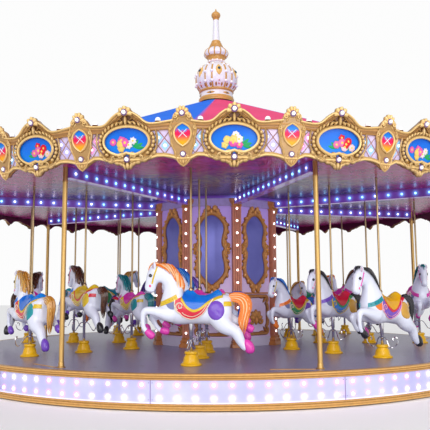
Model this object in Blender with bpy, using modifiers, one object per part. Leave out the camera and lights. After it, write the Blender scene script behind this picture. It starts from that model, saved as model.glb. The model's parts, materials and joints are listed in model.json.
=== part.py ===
"""Fairground carousel: three rings of eight galloping horses on a turntable.

Metres, +Z up. The origin is on the ground at the centre of rotation. Angles run
anticlockwise seen from above and start at -Y, so angle 0 is the front.
Posts, beams and core pilasters stand at 0, 45, 90 ... degrees, and the rows of
three horses halfway between them.
"""
import math

import bmesh
import bpy
from mathutils import Matrix, Vector

GAP = 0.0003
# how far a cutter reaches past the faces it cuts
CUT_MARGIN = 0.05

# platform and skirt
DECK_TOP = 0.406
DECK_THICKNESS = 0.060
DECK_RADIUS = 4.150
SKIRT_CLEARANCE = 0.014
SKIRT_TOP_MOULDING = 0.071
SKIRT_BOTTOM_MOULDING = 0.070
SKIRT_BAND_RADIUS = 4.205
SKIRT_TOP_RADIUS = 4.232
SKIRT_BOTTOM_RADIUS = 4.222
SKIRT_TOP_RAKE = 0.008
SKIRT_BOTTOM_RAKE = 0.012
SKIRT_SIDES = 48

# fixed ground frame and slewing bearing
HUB_RADIUS = 0.75
HUB_HEIGHT = 0.260
BEARING_INNER = 0.45
BEARING_OUTER = 0.68
ARM_WIDTH = 0.14
ARM_BOTTOM = 0.020
ARM_TOP = 0.150
ARM_REACH = 3.95
ARM_ROOT = 0.10
PAD_SIZE = 0.36
PAD_LIP = 0.01
PAD_THICKNESS = 0.035

# posts, beams and ceiling, with heights above the deck
BAYS = 8
POST_CIRCLE = 4.000
POST_RADIUS = 0.030
POST_FOOT_RADIUS = 0.065
POST_FOOT_HEIGHT = 0.018
CEILING_HEIGHT = 2.430
CEILING_THICKNESS = 0.035
BEAM_WIDTH = 0.110
BEAM_DEPTH = 0.130
BEAM_TO_CAPITAL = 0.008
COLLAR_DEPTH = 0.040
COLLAR_INNER = 1.175
COLLAR_OUTER = 1.225

# centre core
CORE_RADIUS = 1.050
CORE_WALL = 0.040
CORE_RING_RADIUS = 1.075
CORE_RING_INNER = 0.860
PILASTER_FACE = 1.094
PILASTER_WIDTH = 0.144
PILASTER_BACK = 0.960
PLINTH_HEIGHT = 0.150
PLINTH_WIDTH = 0.180
PLINTH_FACE = 1.118
CAPITAL_HEIGHT = 0.150
CAPITAL_WIDTH = 0.210
CAPITAL_FACE = 1.125
MAST_RADIUS = 0.150
MAST_HEAD_RADIUS = 0.300
MAST_HEAD_BOTTOM = 4.180
MAST_HEAD_TAPER = 0.100

# cornice board with its crests and drops, heights above the deck
CORNICE_CRESTS = 24
CORNICE_STEPS = 8
CORNICE_THICKNESS = 0.050
CORNICE_BOTTOM = 2.330
CORNICE_RAIL_TOP = 2.710
CORNICE_RADIUS = 4.505
CORNICE_LEAN = 0.190
LARGE_CREST_TOP = 2.915
LARGE_DROP_TIP = 2.230
SMALL_CREST_TOP = 2.875
SMALL_DROP_TIP = 2.262
# share of the full rise and drop at 0, 1 and 2 steps from the middle of a large crest
CREST_RISE = (1.00, 0.80, 0.30)
CREST_DROP = (1.00, 0.45, 0.10)

# roof cone, heights above the deck
ROOF_APEX = 4.412
ROOF_SLOPE = 0.400
ROOF_THICKNESS = 0.030
ROOF_SIDES = 48

# finial, heights above the deck
FINIAL_BAND_BOTTOM = 4.308
FINIAL_BAND_TOP = 4.532
LARGE_DOME_TOP = 5.064
SMALL_DOME_TOP = 5.356
FINIAL_TIP = 6.120
FINIAL_SIDES = 16

# horses
ROW_OFFSET = 22.5
POLE_RADIUS = 0.016
SHAFT_RADIUS = 0.020
POLE_TOP = 2.640
SHAFT_TOP = 0.560
SHAFT_TAPER = 0.030
SHAFT_BOTTOM = -0.060
SHAFT_CLEARANCE = 0.0006
CEILING_HOLE_CLEARANCE = 0.006
FOOTREST_RADIUS = 0.006
BELLY_HEIGHT = 0.530
STAND_HEIGHT = 0.175
STAND_SINK = 0.020
STAND_NECK_RADIUS = 0.072
STAND_WAIST_RADIUS = 0.082
STAND_WAIST_HEIGHT = 0.060
STAND_FLANGE_RADIUS = 0.128
STAND_FLANGE_HEIGHT = 0.022
RINGS = {
    "outer": {"radius": 3.440, "size": 1.00},
    "middle": {"radius": 2.600, "size": 0.90},
    "inner": {"radius": 1.770, "size": 0.82},
}
# height of each horse at rest above the middle of its stroke: outer, middle, inner
REST_LIFTS = [
    (-0.075, -0.015, -0.050),
    (0.030, -0.050, 0.060),
    (0.060, 0.000, -0.070),
    (-0.050, 0.070, 0.030),
    (0.080, -0.040, -0.020),
    (0.000, 0.060, -0.060),
    (-0.065, 0.100, 0.030),
    (-0.030, 0.020, -0.010),
]

COLOURS = {
    "frame_steel": ((0.16, 0.17, 0.18, 1.0), 0.50, 0.8),
    "deck_grey": ((0.22, 0.22, 0.25, 1.0), 0.35, 0.2),
    "gold_paint": ((0.60, 0.36, 0.10, 1.0), 0.35, 0.6),
    "light_band": ((0.75, 0.75, 0.92, 1.0), 0.30, 0.0),
    "purple_gloss": ((0.25, 0.08, 0.42, 1.0), 0.15, 0.0),
    "ceiling_print": ((0.30, 0.12, 0.38, 1.0), 0.15, 0.0),
    "core_panel": ((0.55, 0.52, 0.75, 1.0), 0.25, 0.0),
    "cornice_paint": ((0.80, 0.62, 0.32, 1.0), 0.35, 0.3),
    "roof_sheet": ((0.55, 0.10, 0.25, 1.0), 0.45, 0.0),
    "finial_paint": ((0.85, 0.83, 0.80, 1.0), 0.30, 0.0),
    "horse_paint": ((0.88, 0.88, 0.92, 1.0), 0.20, 0.0),
}


def clear_scene():
    """Remove the objects that Blender starts with."""
    for old in list(bpy.data.objects):
        bpy.data.objects.remove(old, do_unlink=True)


def make_collection(name):
    """A collection linked to the scene."""
    group = bpy.data.collections.new(name)
    bpy.context.scene.collection.children.link(group)
    return group


def make_material(name):
    """One Principled material, from the colour table."""
    colour, roughness, metallic = COLOURS[name]
    material = bpy.data.materials.get(name)
    if material is None:
        material = bpy.data.materials.new(name)
        material.use_nodes = True
        shader = material.node_tree.nodes["Principled BSDF"]
        shader.inputs["Base Color"].default_value = colour
        shader.inputs["Roughness"].default_value = roughness
        shader.inputs["Metallic"].default_value = metallic
        material.diffuse_color = colour
    return material


def add_object(name, mesh, material=None):
    """A visible part, or a hidden cutter where it has no material."""
    made = bpy.data.objects.new(name, mesh)
    if material:
        PARTS.objects.link(made)
        if not mesh.materials:
            mesh.materials.append(make_material(material))
    else:
        TOOLS.objects.link(made)
        made.hide_render = True
        made.display_type = "WIRE"
    return made


def mesh_from(name, shape):
    """Turn a finished bmesh into a mesh."""
    mesh = bpy.data.meshes.new(name)
    shape.to_mesh(mesh)
    shape.free()
    return mesh


def turned(name, outline, sides, material=None, closed=False):
    """A turned body: outline of (radius, height) from top to bottom, spun about Z."""
    shape = bmesh.new()
    corners = [shape.verts.new((radius, 0.0, height)) for radius, height in outline]
    for upper, lower in zip(corners, corners[1:]):
        shape.edges.new((upper, lower))
    if closed:
        shape.edges.new((corners[-1], corners[0]))
    made = add_object(name, mesh_from(name, shape), material)
    spin = made.modifiers.new("turn", "SCREW")
    spin.axis = "Z"
    spin.angle = 2.0 * math.pi
    spin.steps = sides
    spin.render_steps = sides
    spin.use_merge_vertices = True
    spin.merge_threshold = 0.0001
    return made


def ring(name, inner, outer, bottom, top, sides, material):
    """A plain ring with a rectangular section."""
    outline = [(inner, top), (outer, top), (outer, bottom), (inner, bottom)]
    return turned(name, outline, sides, material, closed=True)


def disc(name, radius, bottom, top, sides, material):
    """A plain round plate with flat undivided faces."""
    shape = bmesh.new()
    place = Matrix.Translation((0.0, 0.0, (bottom + top) / 2.0))
    bmesh.ops.create_cone(shape, cap_ends=True, segments=sides, radius1=radius, radius2=radius,
                          depth=top - bottom, matrix=place)
    return add_object(name, mesh_from(name, shape), material)


def add_loft(shape, sections, closed=False):
    """Skin a row of sections that each have the same number of points."""
    loops = [[shape.verts.new(point) for point in section] for section in sections]
    pairs = list(zip(loops, loops[1:]))
    if closed:
        pairs.append((loops[-1], loops[0]))
    for here, there in pairs:
        count = len(here)
        for index in range(count):
            following = (index + 1) % count
            shape.faces.new((here[index], here[following], there[following], there[index]))
    if not closed:
        shape.faces.new(list(reversed(loops[0])))
        shape.faces.new(loops[-1])


def face_outwards(shape):
    """Point every face of a closed bmesh outwards."""
    bmesh.ops.recalc_face_normals(shape, faces=shape.faces)


def add_box(shape, low, high, angle=0.0):
    """A box between two corners, turned about Z by an angle in degrees."""
    low, high = Vector(low), Vector(high)
    size = high - low
    place = Matrix.Rotation(math.radians(angle), 4, "Z") @ Matrix.Translation((low + high) / 2.0)
    bmesh.ops.create_cube(shape, size=1.0, matrix=place @ Matrix.Diagonal((*size, 1.0)))


def boolean(made, operation, other):
    """Join or cut with a hidden tool object."""
    step = made.modifiers.new(operation.lower(), "BOOLEAN")
    step.operation = operation
    step.solver = "EXACT"
    step.object = other


def evaluated_mesh(made):
    """The object's mesh with its modifiers applied."""
    bpy.context.view_layer.update()
    view = bpy.context.evaluated_depsgraph_get()
    mesh = bpy.data.meshes.new_from_object(made.evaluated_get(view))
    mesh.name = made.name
    return mesh


def polar(radius, angle, height=0.0):
    """A point at an angle from the front, anticlockwise seen from above."""
    turn = math.radians(angle)
    return Vector((radius * math.sin(turn), -radius * math.cos(turn), height))


def bay_angles():
    """Angles of the posts, beams and pilasters."""
    return [360.0 / BAYS * bay for bay in range(BAYS)]


def row_angles():
    """Angles of the rows of horses."""
    return [ROW_OFFSET + 360.0 / BAYS * row for row in range(BAYS)]


# fixed base


def make_ground_frame():
    """Hub drum with eight arms that stand on foot pads."""
    outline = [(0.0, HUB_HEIGHT), (HUB_RADIUS, HUB_HEIGHT), (HUB_RADIUS, 0.0), (0.0, 0.0)]
    frame = turned("ground_frame", outline, 16, "frame_steel")
    arms = bmesh.new()
    pads = bmesh.new()
    half = ARM_WIDTH / 2.0
    half_pad = PAD_SIZE / 2.0
    for angle in bay_angles():
        add_box(arms, (-half, -ARM_REACH, ARM_BOTTOM), (half, -HUB_RADIUS + ARM_ROOT, ARM_TOP), angle)
        pad_far = -ARM_REACH - PAD_LIP
        add_box(pads, (-half_pad, pad_far, 0.0), (half_pad, pad_far + PAD_SIZE, PAD_THICKNESS), angle)
    boolean(frame, "UNION", add_object("arms", mesh_from("arms", arms)))
    boolean(frame, "UNION", add_object("foot_pads", mesh_from("foot_pads", pads)))


def make_bearing():
    """Slewing ring between the hub and the platform."""
    bottom = HUB_HEIGHT + GAP
    top = DECK_TOP - DECK_THICKNESS - GAP
    ring("slewing_bearing", BEARING_INNER, BEARING_OUTER, bottom, top, 24, "frame_steel")


# platform


def stand_outline():
    """Bell shape of a pole stand, from its top to below the deck surface."""
    return [
        (0.0, STAND_HEIGHT),
        (STAND_NECK_RADIUS, STAND_HEIGHT),
        (STAND_WAIST_RADIUS, STAND_WAIST_HEIGHT),
        (STAND_FLANGE_RADIUS, STAND_FLANGE_HEIGHT),
        (STAND_FLANGE_RADIUS, -STAND_SINK),
        (0.0, -STAND_SINK),
    ]


def make_deck():
    """Round platform with a bored bell stand under every horse."""
    bottom = DECK_TOP - DECK_THICKNESS
    deck = disc("platform_deck", DECK_RADIUS, bottom, DECK_TOP, SKIRT_SIDES, "deck_grey")
    one_stand = evaluated_mesh(turned("stand_form", stand_outline(), 8))
    bore_radius = SHAFT_RADIUS + SHAFT_CLEARANCE
    bore_outline = [
        (0.0, STAND_HEIGHT + CUT_MARGIN),
        (bore_radius, STAND_HEIGHT + CUT_MARGIN),
        (bore_radius, -DECK_THICKNESS - CUT_MARGIN),
        (0.0, -DECK_THICKNESS - CUT_MARGIN),
    ]
    one_bore = evaluated_mesh(turned("bore_form", bore_outline, 8))
    stands = repeat_at_horses("pole_stands", one_stand, DECK_TOP)
    bores = repeat_at_horses("stand_bores", one_bore, DECK_TOP)
    boolean(deck, "UNION", stands)
    boolean(deck, "DIFFERENCE", bores)


def repeat_at_horses(name, mesh, height):
    """One hidden object that holds a copy of the mesh at every horse's place."""
    shape = bmesh.new()
    for angle in row_angles():
        for seat in RINGS.values():
            copy = bmesh.new()
            copy.from_mesh(mesh)
            turn = Matrix.Rotation(math.radians(angle), 4, "Z")
            copy.transform(Matrix.Translation(polar(seat["radius"], angle, height)) @ turn)
            piece = mesh_from(name, copy)
            shape.from_mesh(piece)
    return add_object(name, mesh_from(name, shape))


def make_skirt():
    """Light band between two gold mouldings, hung round the deck's edge."""
    inner = DECK_RADIUS + GAP
    top_bottom = DECK_TOP - SKIRT_TOP_MOULDING
    foot_top = SKIRT_CLEARANCE + SKIRT_BOTTOM_MOULDING
    nose = SKIRT_TOP_RADIUS
    top_outline = [
        (inner, DECK_TOP),
        (nose, DECK_TOP),
        (nose - SKIRT_TOP_RAKE, top_bottom),
        (inner, top_bottom),
    ]
    turned("skirt_top_moulding", top_outline, SKIRT_SIDES, "gold_paint", closed=True)
    ring("skirt_light_band", inner, SKIRT_BAND_RADIUS, foot_top + GAP, top_bottom - GAP,
         SKIRT_SIDES, "light_band")
    foot_outline = [
        (inner, foot_top),
        (SKIRT_BOTTOM_RADIUS - SKIRT_BOTTOM_RAKE, foot_top),
        (SKIRT_BOTTOM_RADIUS, SKIRT_CLEARANCE),
        (inner, SKIRT_CLEARANCE),
    ]
    turned("skirt_bottom_moulding", foot_outline, SKIRT_SIDES, "gold_paint", closed=True)


# canopy structure


def make_posts():
    """Eight round posts near the deck's edge."""
    top = CEILING_HEIGHT - GAP
    outline = [
        (0.0, top),
        (POST_RADIUS, top),
        (POST_RADIUS, POST_FOOT_HEIGHT),
        (POST_FOOT_RADIUS, POST_FOOT_HEIGHT),
        (POST_FOOT_RADIUS, GAP),
        (0.0, GAP),
    ]
    post_mesh = evaluated_mesh(turned("post_form", outline, 8))
    post_mesh.materials.append(make_material("gold_paint"))
    for number, angle in enumerate(bay_angles(), start=1):
        post = add_object(f"canopy_post_{number}", post_mesh, "gold_paint")
        post.location = polar(POST_CIRCLE, angle, DECK_TOP)
        post.rotation_euler.z = math.radians(angle)


def make_beams():
    """Collar round the core head with eight radial beams out to the posts."""
    top = DECK_TOP + CEILING_HEIGHT - GAP
    beams = ring("canopy_beams", COLLAR_INNER, COLLAR_OUTER, top - COLLAR_DEPTH, top, 8,
                 "purple_gloss")
    shape = bmesh.new()
    half = BEAM_WIDTH / 2.0
    reach = POST_CIRCLE - POST_RADIUS - GAP
    for angle in bay_angles():
        low = (-half, -reach, top - BEAM_DEPTH)
        high = (half, -CAPITAL_FACE - BEAM_TO_CAPITAL, top)
        add_box(shape, low, high, angle)
    boolean(beams, "UNION", add_object("radial_beams", mesh_from("radial_beams", shape)))


def cornice_radius(height):
    """Outer radius of the leaning cornice board at a height above the deck."""
    return CORNICE_RADIUS + CORNICE_LEAN * (height - CORNICE_BOTTOM)


def make_ceiling():
    """Flat round ceiling with a clearance hole for every horse pole."""
    bottom = DECK_TOP + CEILING_HEIGHT
    top = bottom + CEILING_THICKNESS
    rim = cornice_radius(CEILING_HEIGHT) - CORNICE_THICKNESS - GAP
    inner = (MAST_RADIUS + GAP) / math.cos(math.pi / ROOF_SIDES)
    ceiling = ring("ceiling", inner, rim, bottom, top, ROOF_SIDES, "ceiling_print")
    ceiling.rotation_euler.z = math.pi / ROOF_SIDES
    hole_radius = POLE_RADIUS + CEILING_HOLE_CLEARANCE
    outline = [(0.0, CUT_MARGIN), (hole_radius, CUT_MARGIN), (hole_radius, -CUT_MARGIN), (0.0, -CUT_MARGIN)]
    one_hole = evaluated_mesh(turned("pole_hole_form", outline, 8))
    boolean(ceiling, "DIFFERENCE", repeat_at_horses("pole_holes", one_hole, bottom))


def make_core():
    """Hollow octagonal centre drum and its frame of pilasters."""
    floor = DECK_TOP + GAP
    head = DECK_TOP + CEILING_HEIGHT - GAP
    ring("core_drum", CORE_RADIUS - CORE_WALL, CORE_RADIUS, floor, head, BAYS, "core_panel")
    frame = ring("core_frame", CORE_RING_INNER, CORE_RING_RADIUS, floor,
                 floor + PLINTH_HEIGHT, BAYS, "gold_paint")
    head_ring = ring("core_head_ring", CORE_RING_INNER, CORE_RING_RADIUS,
                     head - CAPITAL_HEIGHT, head, BAYS, None)
    boolean(frame, "UNION", head_ring)
    pieces = [
        (PILASTER_WIDTH, PILASTER_FACE, floor + PLINTH_HEIGHT / 2.0, head - CAPITAL_HEIGHT / 2.0),
        (PLINTH_WIDTH, PLINTH_FACE, floor, floor + PLINTH_HEIGHT),
        (CAPITAL_WIDTH, CAPITAL_FACE, head - CAPITAL_HEIGHT, head),
    ]
    for index, (width, face, bottom, top) in enumerate(pieces):
        shape = bmesh.new()
        for angle in bay_angles():
            add_box(shape, (-width / 2.0, -face, bottom), (width / 2.0, -PILASTER_BACK, top), angle)
        name = f"pilaster_piece_{index}"
        boolean(frame, "UNION", add_object(name, mesh_from(name, shape)))
    room = [(0.0, head + CUT_MARGIN), (CORE_RADIUS + GAP, head + CUT_MARGIN),
            (CORE_RADIUS + GAP, floor - CUT_MARGIN), (0.0, floor - CUT_MARGIN)]
    boolean(frame, "DIFFERENCE", turned("core_room", room, BAYS))


def make_mast():
    """Mast from the deck up through the drum, which carries the roof's head and the finial."""
    foot = DECK_TOP + GAP
    head_bottom = DECK_TOP + MAST_HEAD_BOTTOM
    top = DECK_TOP + FINIAL_BAND_BOTTOM - GAP
    outline = [
        (0.0, top),
        (MAST_HEAD_RADIUS, top),
        (MAST_HEAD_RADIUS, head_bottom),
        (MAST_RADIUS, head_bottom - MAST_HEAD_TAPER),
        (MAST_RADIUS, foot),
        (0.0, foot),
    ]
    turned("centre_mast", outline, 24, "frame_steel")


def crest_height(step):
    """Top and bottom edge of the cornice at a step within one crest's pitch.

    Step 0 is the middle of a large crest, half the pitch is a small crest.
    """
    half = CORNICE_STEPS // 2
    away = min(step, CORNICE_STEPS - step)
    if away < len(CREST_RISE):
        top = CORNICE_RAIL_TOP + CREST_RISE[away] * (LARGE_CREST_TOP - CORNICE_RAIL_TOP)
        bottom = CORNICE_BOTTOM - CREST_DROP[away] * (CORNICE_BOTTOM - LARGE_DROP_TIP)
        return top, bottom
    if away == half:
        return SMALL_CREST_TOP, SMALL_DROP_TIP
    return CORNICE_RAIL_TOP, CORNICE_BOTTOM


def make_cornice():
    """Leaning cornice board with large and small crests by turns."""
    count = CORNICE_CRESTS * CORNICE_STEPS
    sections = []
    for index in range(count):
        angle = 360.0 / count * index
        top, bottom = crest_height(index % CORNICE_STEPS)
        corners = [(0.0, bottom), (0.0, top), (-CORNICE_THICKNESS, top), (-CORNICE_THICKNESS, bottom)]
        section = []
        for inset, height in corners:
            section.append(polar(cornice_radius(height) + inset, angle, DECK_TOP + height))
        sections.append(section)
    shape = bmesh.new()
    add_loft(shape, sections, closed=True)
    face_outwards(shape)
    add_object("cornice_board", mesh_from("cornice_board", shape), "cornice_paint")


def make_roof():
    """Cone of roof sheets between the mast head and the cornice."""
    def surface(radius):
        return DECK_TOP + ROOF_APEX - ROOF_SLOPE * radius
    inner = MAST_HEAD_RADIUS + GAP
    # the lower lip of the sheets meets the back of the leaning board
    board_foot = CORNICE_RADIUS - CORNICE_THICKNESS - GAP
    apex_above_board = ROOF_APEX - ROOF_THICKNESS - CORNICE_BOTTOM
    edge = (board_foot + CORNICE_LEAN * apex_above_board) / (1.0 + CORNICE_LEAN * ROOF_SLOPE)
    outline = [
        (inner, surface(inner)),
        (edge, surface(edge)),
        (edge, surface(edge) - ROOF_THICKNESS),
        (inner, surface(inner) - ROOF_THICKNESS),
    ]
    turned("roof_cone", outline, ROOF_SIDES, "roof_sheet", closed=True)


def make_finial():
    """Band, large dome, small dome and spire on the roof's peak."""
    def raised(points):
        return [(radius, DECK_TOP + height) for radius, height in points]
    band = [(0.0, FINIAL_BAND_TOP - GAP), (0.30, FINIAL_BAND_TOP - GAP), (0.315, 4.500),
            (0.320, 4.350), (0.335, 4.320), (0.330, FINIAL_BAND_BOTTOM), (0.0, FINIAL_BAND_BOTTOM)]
    turned("finial_band", raised(band), FINIAL_SIDES, "finial_paint")
    large = [(0.0, LARGE_DOME_TOP - GAP), (0.155, LARGE_DOME_TOP - GAP), (0.175, 5.030),
             (0.250, 4.950), (0.345, 4.830), (0.383, 4.700), (0.350, 4.590),
             (0.300, FINIAL_BAND_TOP), (0.0, FINIAL_BAND_TOP)]
    turned("finial_large_dome", raised(large), FINIAL_SIDES, "finial_paint")
    small = [(0.0, SMALL_DOME_TOP - GAP), (0.125, SMALL_DOME_TOP - GAP), (0.205, 5.290),
             (0.227, 5.225), (0.165, 5.165), (0.150, 5.110), (0.165, LARGE_DOME_TOP),
             (0.0, LARGE_DOME_TOP)]
    turned("finial_small_dome", raised(small), FINIAL_SIDES, "finial_paint")
    spire = [(0.0, FINIAL_TIP), (0.012, 6.100), (0.030, 6.060), (0.085, 5.996), (0.050, 5.925),
             (0.050, 5.900), (0.065, 5.500), (0.075, 5.488), (0.130, SMALL_DOME_TOP),
             (0.0, SMALL_DOME_TOP)]
    turned("finial_spire", raised(spire), FINIAL_SIDES, "finial_paint")


# horses, modelled heading along -X with the pole at the origin and heights from the belly


def oval_section(top, bottom, half_width, sides):
    """Oval ring between a top and a bottom point given as (forward, height)."""
    upper = Vector((-top[0], 0.0, top[1]))
    lower = Vector((-bottom[0], 0.0, bottom[1]))
    middle = (upper + lower) / 2.0
    reach = (upper - lower) / 2.0
    points = []
    for index in range(sides):
        turn = 2.0 * math.pi * index / sides
        points.append(middle + reach * math.cos(turn) + Vector((0.0, half_width * math.sin(turn), 0.0)))
    return points


def add_limb(shape, path, radii, sides=4):
    """A tapering limb along points given as (forward, sideways, height)."""
    points = [Vector((-forward, side, height)) for forward, side, height in path]
    sections = []
    for index, point in enumerate(points):
        before = points[max(index - 1, 0)]
        after = points[min(index + 1, len(points) - 1)]
        along = (after - before).normalized()
        across = Vector((0.0, 1.0, 0.0))
        third = along.cross(across).normalized()
        section = []
        for corner in range(sides):
            turn = 2.0 * math.pi * corner / sides
            section.append(point + radii[index] * (math.cos(turn) * third + math.sin(turn) * across))
        sections.append(section)
    add_loft(shape, sections)


def torso_shape():
    """Rump, barrel, neck and head as one loft from tail to muzzle."""
    rings = [
        ((-0.505, 0.310), (-0.505, 0.170), 0.070),
        ((-0.400, 0.370), (-0.430, 0.055), 0.140),
        ((-0.160, 0.340), (-0.160, 0.005), 0.150),
        ((0.120, 0.390), (0.200, 0.015), 0.150),
        ((0.120, 0.500), (0.375, 0.180), 0.125),
        ((0.150, 0.640), (0.385, 0.350), 0.085),
        ((0.290, 0.735), (0.385, 0.470), 0.065),
        ((0.450, 0.680), (0.420, 0.460), 0.062),
        ((0.560, 0.470), (0.490, 0.380), 0.038),
    ]
    shape = bmesh.new()
    add_loft(shape, [oval_section(top, bottom, half, 6) for top, bottom, half in rings])
    face_outwards(shape)
    return shape


def limbs_shape():
    """Four galloping legs and the tail, each a loft of its own."""
    shape = bmesh.new()
    add_limb(shape, [(0.26, 0.080, 0.14), (0.565, 0.085, 0.165), (0.53, 0.085, 0.0), (0.455, 0.085, -0.14)],
             [0.075, 0.052, 0.032, 0.045])
    add_limb(shape, [(0.24, -0.080, 0.12), (0.42, -0.085, 0.085), (0.36, -0.085, -0.09)],
             [0.075, 0.048, 0.042])
    add_limb(shape, [(-0.36, 0.085, 0.15), (-0.55, 0.090, -0.03), (-0.66, 0.090, -0.20),
                     (-0.745, 0.090, -0.33)],
             [0.105, 0.062, 0.034, 0.045])
    add_limb(shape, [(-0.36, -0.085, 0.15), (-0.56, -0.090, 0.03), (-0.72, -0.090, -0.08)],
             [0.105, 0.058, 0.044])
    add_limb(shape, [(-0.460, 0.0, 0.300), (-0.640, 0.0, 0.300), (-0.695, 0.0, 0.180),
                     (-0.655, 0.0, -0.110)],
             [0.040, 0.060, 0.062, 0.016])
    face_outwards(shape)
    return shape


def make_horse_mesh(ring_name, size):
    """One closed body: horse, pole, shaft and footrests, joined."""
    place = Matrix.Translation((0.0, 0.0, BELLY_HEIGHT)) @ Matrix.Scale(size, 4)
    torso = torso_shape()
    torso.transform(place)
    horse = add_object(f"{ring_name}_torso", mesh_from(f"{ring_name}_torso", torso))
    limbs = limbs_shape()
    limbs.transform(place)
    boolean(horse, "UNION", add_object(f"{ring_name}_limbs", mesh_from(f"{ring_name}_limbs", limbs)))
    outline = [(0.0, POLE_TOP), (POLE_RADIUS, POLE_TOP), (POLE_RADIUS, SHAFT_TOP + SHAFT_TAPER),
               (SHAFT_RADIUS, SHAFT_TOP), (SHAFT_RADIUS, SHAFT_BOTTOM), (0.0, SHAFT_BOTTOM)]
    boolean(horse, "UNION", turned(f"{ring_name}_pole", outline, 8))
    boolean(horse, "UNION", make_footrest(f"{ring_name}_footrest", size))
    mesh = evaluated_mesh(horse)
    mesh.materials.clear()
    mesh.materials.append(make_material("horse_paint"))
    return mesh


def make_footrest(name, size):
    """Bent rod through the shaft that hangs a stirrup loop on each side."""
    half = [(0.0, 0.400), (0.180, 0.350), (0.265, 0.235), (0.170, 0.170)]
    left = [(0.0, -side * size, height) for side, height in reversed(half)]
    right = [(0.0, side * size, height) for side, height in half[1:]]
    rod = bpy.data.curves.new(name, "CURVE")
    rod.dimensions = "3D"
    rod.bevel_depth = FOOTREST_RADIUS
    rod.bevel_resolution = 0
    rod.use_fill_caps = True
    line = rod.splines.new("POLY")
    line.points.add(len(left + right) - 1)
    for point, place in zip(line.points, left + right):
        point.co = (*place, 1.0)
    wire = add_object(f"{name}_wire", rod)
    shape = bmesh.new()
    shape.from_mesh(evaluated_mesh(wire))
    bpy.data.objects.remove(wire, do_unlink=True)
    bmesh.ops.remove_doubles(shape, verts=shape.verts, dist=0.00001)
    face_outwards(shape)
    return add_object(name, mesh_from(name, shape))


def make_horses():
    """Twenty-four horses, each on its own guide axis."""
    for ring_index, (ring_name, seat) in enumerate(RINGS.items()):
        mesh = make_horse_mesh(ring_name, seat["size"])
        for row, angle in enumerate(row_angles()):
            lift = REST_LIFTS[row][ring_index]
            horse = add_object(f"horse_{ring_name}_{row + 1}", mesh, "horse_paint")
            horse.location = polar(seat["radius"], angle, DECK_TOP + lift)
            horse.rotation_euler.z = math.radians(angle)


clear_scene()
PARTS = make_collection("fairground_carousel")
TOOLS = make_collection("cutters")
make_ground_frame()
make_bearing()
make_deck()
make_skirt()
make_core()
make_mast()
make_posts()
make_beams()
make_ceiling()
make_cornice()
make_roof()
make_finial()
make_horses()
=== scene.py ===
"""Looks of the fairground carousel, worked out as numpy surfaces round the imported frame.

Metres, +Z up, origin on the ground at the centre of rotation. Angles are in
degrees, start at the front (-Y) and grow anticlockwise seen from above.
"""
import json
import math

import bpy
import numpy as np
from mathutils import Matrix, Vector

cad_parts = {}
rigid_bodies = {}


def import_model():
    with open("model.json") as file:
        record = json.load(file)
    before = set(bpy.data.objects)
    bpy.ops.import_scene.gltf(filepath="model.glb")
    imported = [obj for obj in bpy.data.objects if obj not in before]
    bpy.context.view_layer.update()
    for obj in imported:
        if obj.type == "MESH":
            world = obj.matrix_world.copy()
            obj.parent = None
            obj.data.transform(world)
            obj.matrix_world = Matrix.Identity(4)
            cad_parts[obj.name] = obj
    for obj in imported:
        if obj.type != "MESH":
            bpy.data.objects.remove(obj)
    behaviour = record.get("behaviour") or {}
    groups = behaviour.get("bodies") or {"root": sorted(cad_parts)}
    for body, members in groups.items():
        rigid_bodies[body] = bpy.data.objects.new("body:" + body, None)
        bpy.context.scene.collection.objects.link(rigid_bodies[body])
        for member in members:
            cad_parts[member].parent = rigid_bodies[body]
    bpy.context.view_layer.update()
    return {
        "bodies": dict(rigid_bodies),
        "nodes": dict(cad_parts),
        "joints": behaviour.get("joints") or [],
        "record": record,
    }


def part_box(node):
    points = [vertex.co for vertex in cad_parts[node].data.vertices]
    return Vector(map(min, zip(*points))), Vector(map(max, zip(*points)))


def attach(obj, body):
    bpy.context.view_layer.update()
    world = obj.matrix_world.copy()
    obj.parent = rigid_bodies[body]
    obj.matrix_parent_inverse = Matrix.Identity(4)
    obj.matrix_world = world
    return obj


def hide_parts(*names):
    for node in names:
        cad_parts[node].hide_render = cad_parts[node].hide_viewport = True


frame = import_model()

TURNTABLE = "turntable"
DECK_LOW, DECK_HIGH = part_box("platform_deck")
DECK = DECK_LOW.z + 0.06
BAYS = 8
BAY_ANGLES = [45.0 * bay for bay in range(BAYS)]
ROW_ANGLES = [22.5 + 45.0 * bay for bay in range(BAYS)]

# colours are linear
# the LIGHT and DEEP tones of gold and copper serve as painted highlight on ridges and painted shade in
# recesses
GOLD_LIGHT = (0.95, 0.64, 0.25)
GOLD = (0.6, 0.3, 0.07)
GOLD_DEEP = (0.14, 0.042, 0.008)
COPPER_LIGHT = (0.92, 0.42, 0.095)
COPPER = (0.58, 0.21, 0.055)
COPPER_DEEP = (0.2, 0.052, 0.015)
WHITE = (0.86, 0.86, 0.9)
# sideways for a horse
ACROSS = (0.0, 1.0, 0.0)


# surfaces as arrays


def mm(*rows):
    """Millimetres as metres."""
    return np.array(rows) / 1000.0


def stacked(*parts):
    """Coordinates stretched to each other's shape and set side by side on a last axis."""
    return np.stack(np.broadcast_arrays(*parts), -1)


def unit(rows):
    """Rows divided by their own length."""
    return rows / np.linalg.norm(rows, axis=1, keepdims=True)


def circle(count):
    """Evenly spaced angles of a whole turn, in radians."""
    return np.linspace(0.0, 2.0 * np.pi, count, endpoint=False)


def closed(side):
    """Closed outline from its right half, given from top to bottom."""
    return np.concatenate([side, side[-2:0:-1] * (-1.0, 1.0)])


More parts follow.
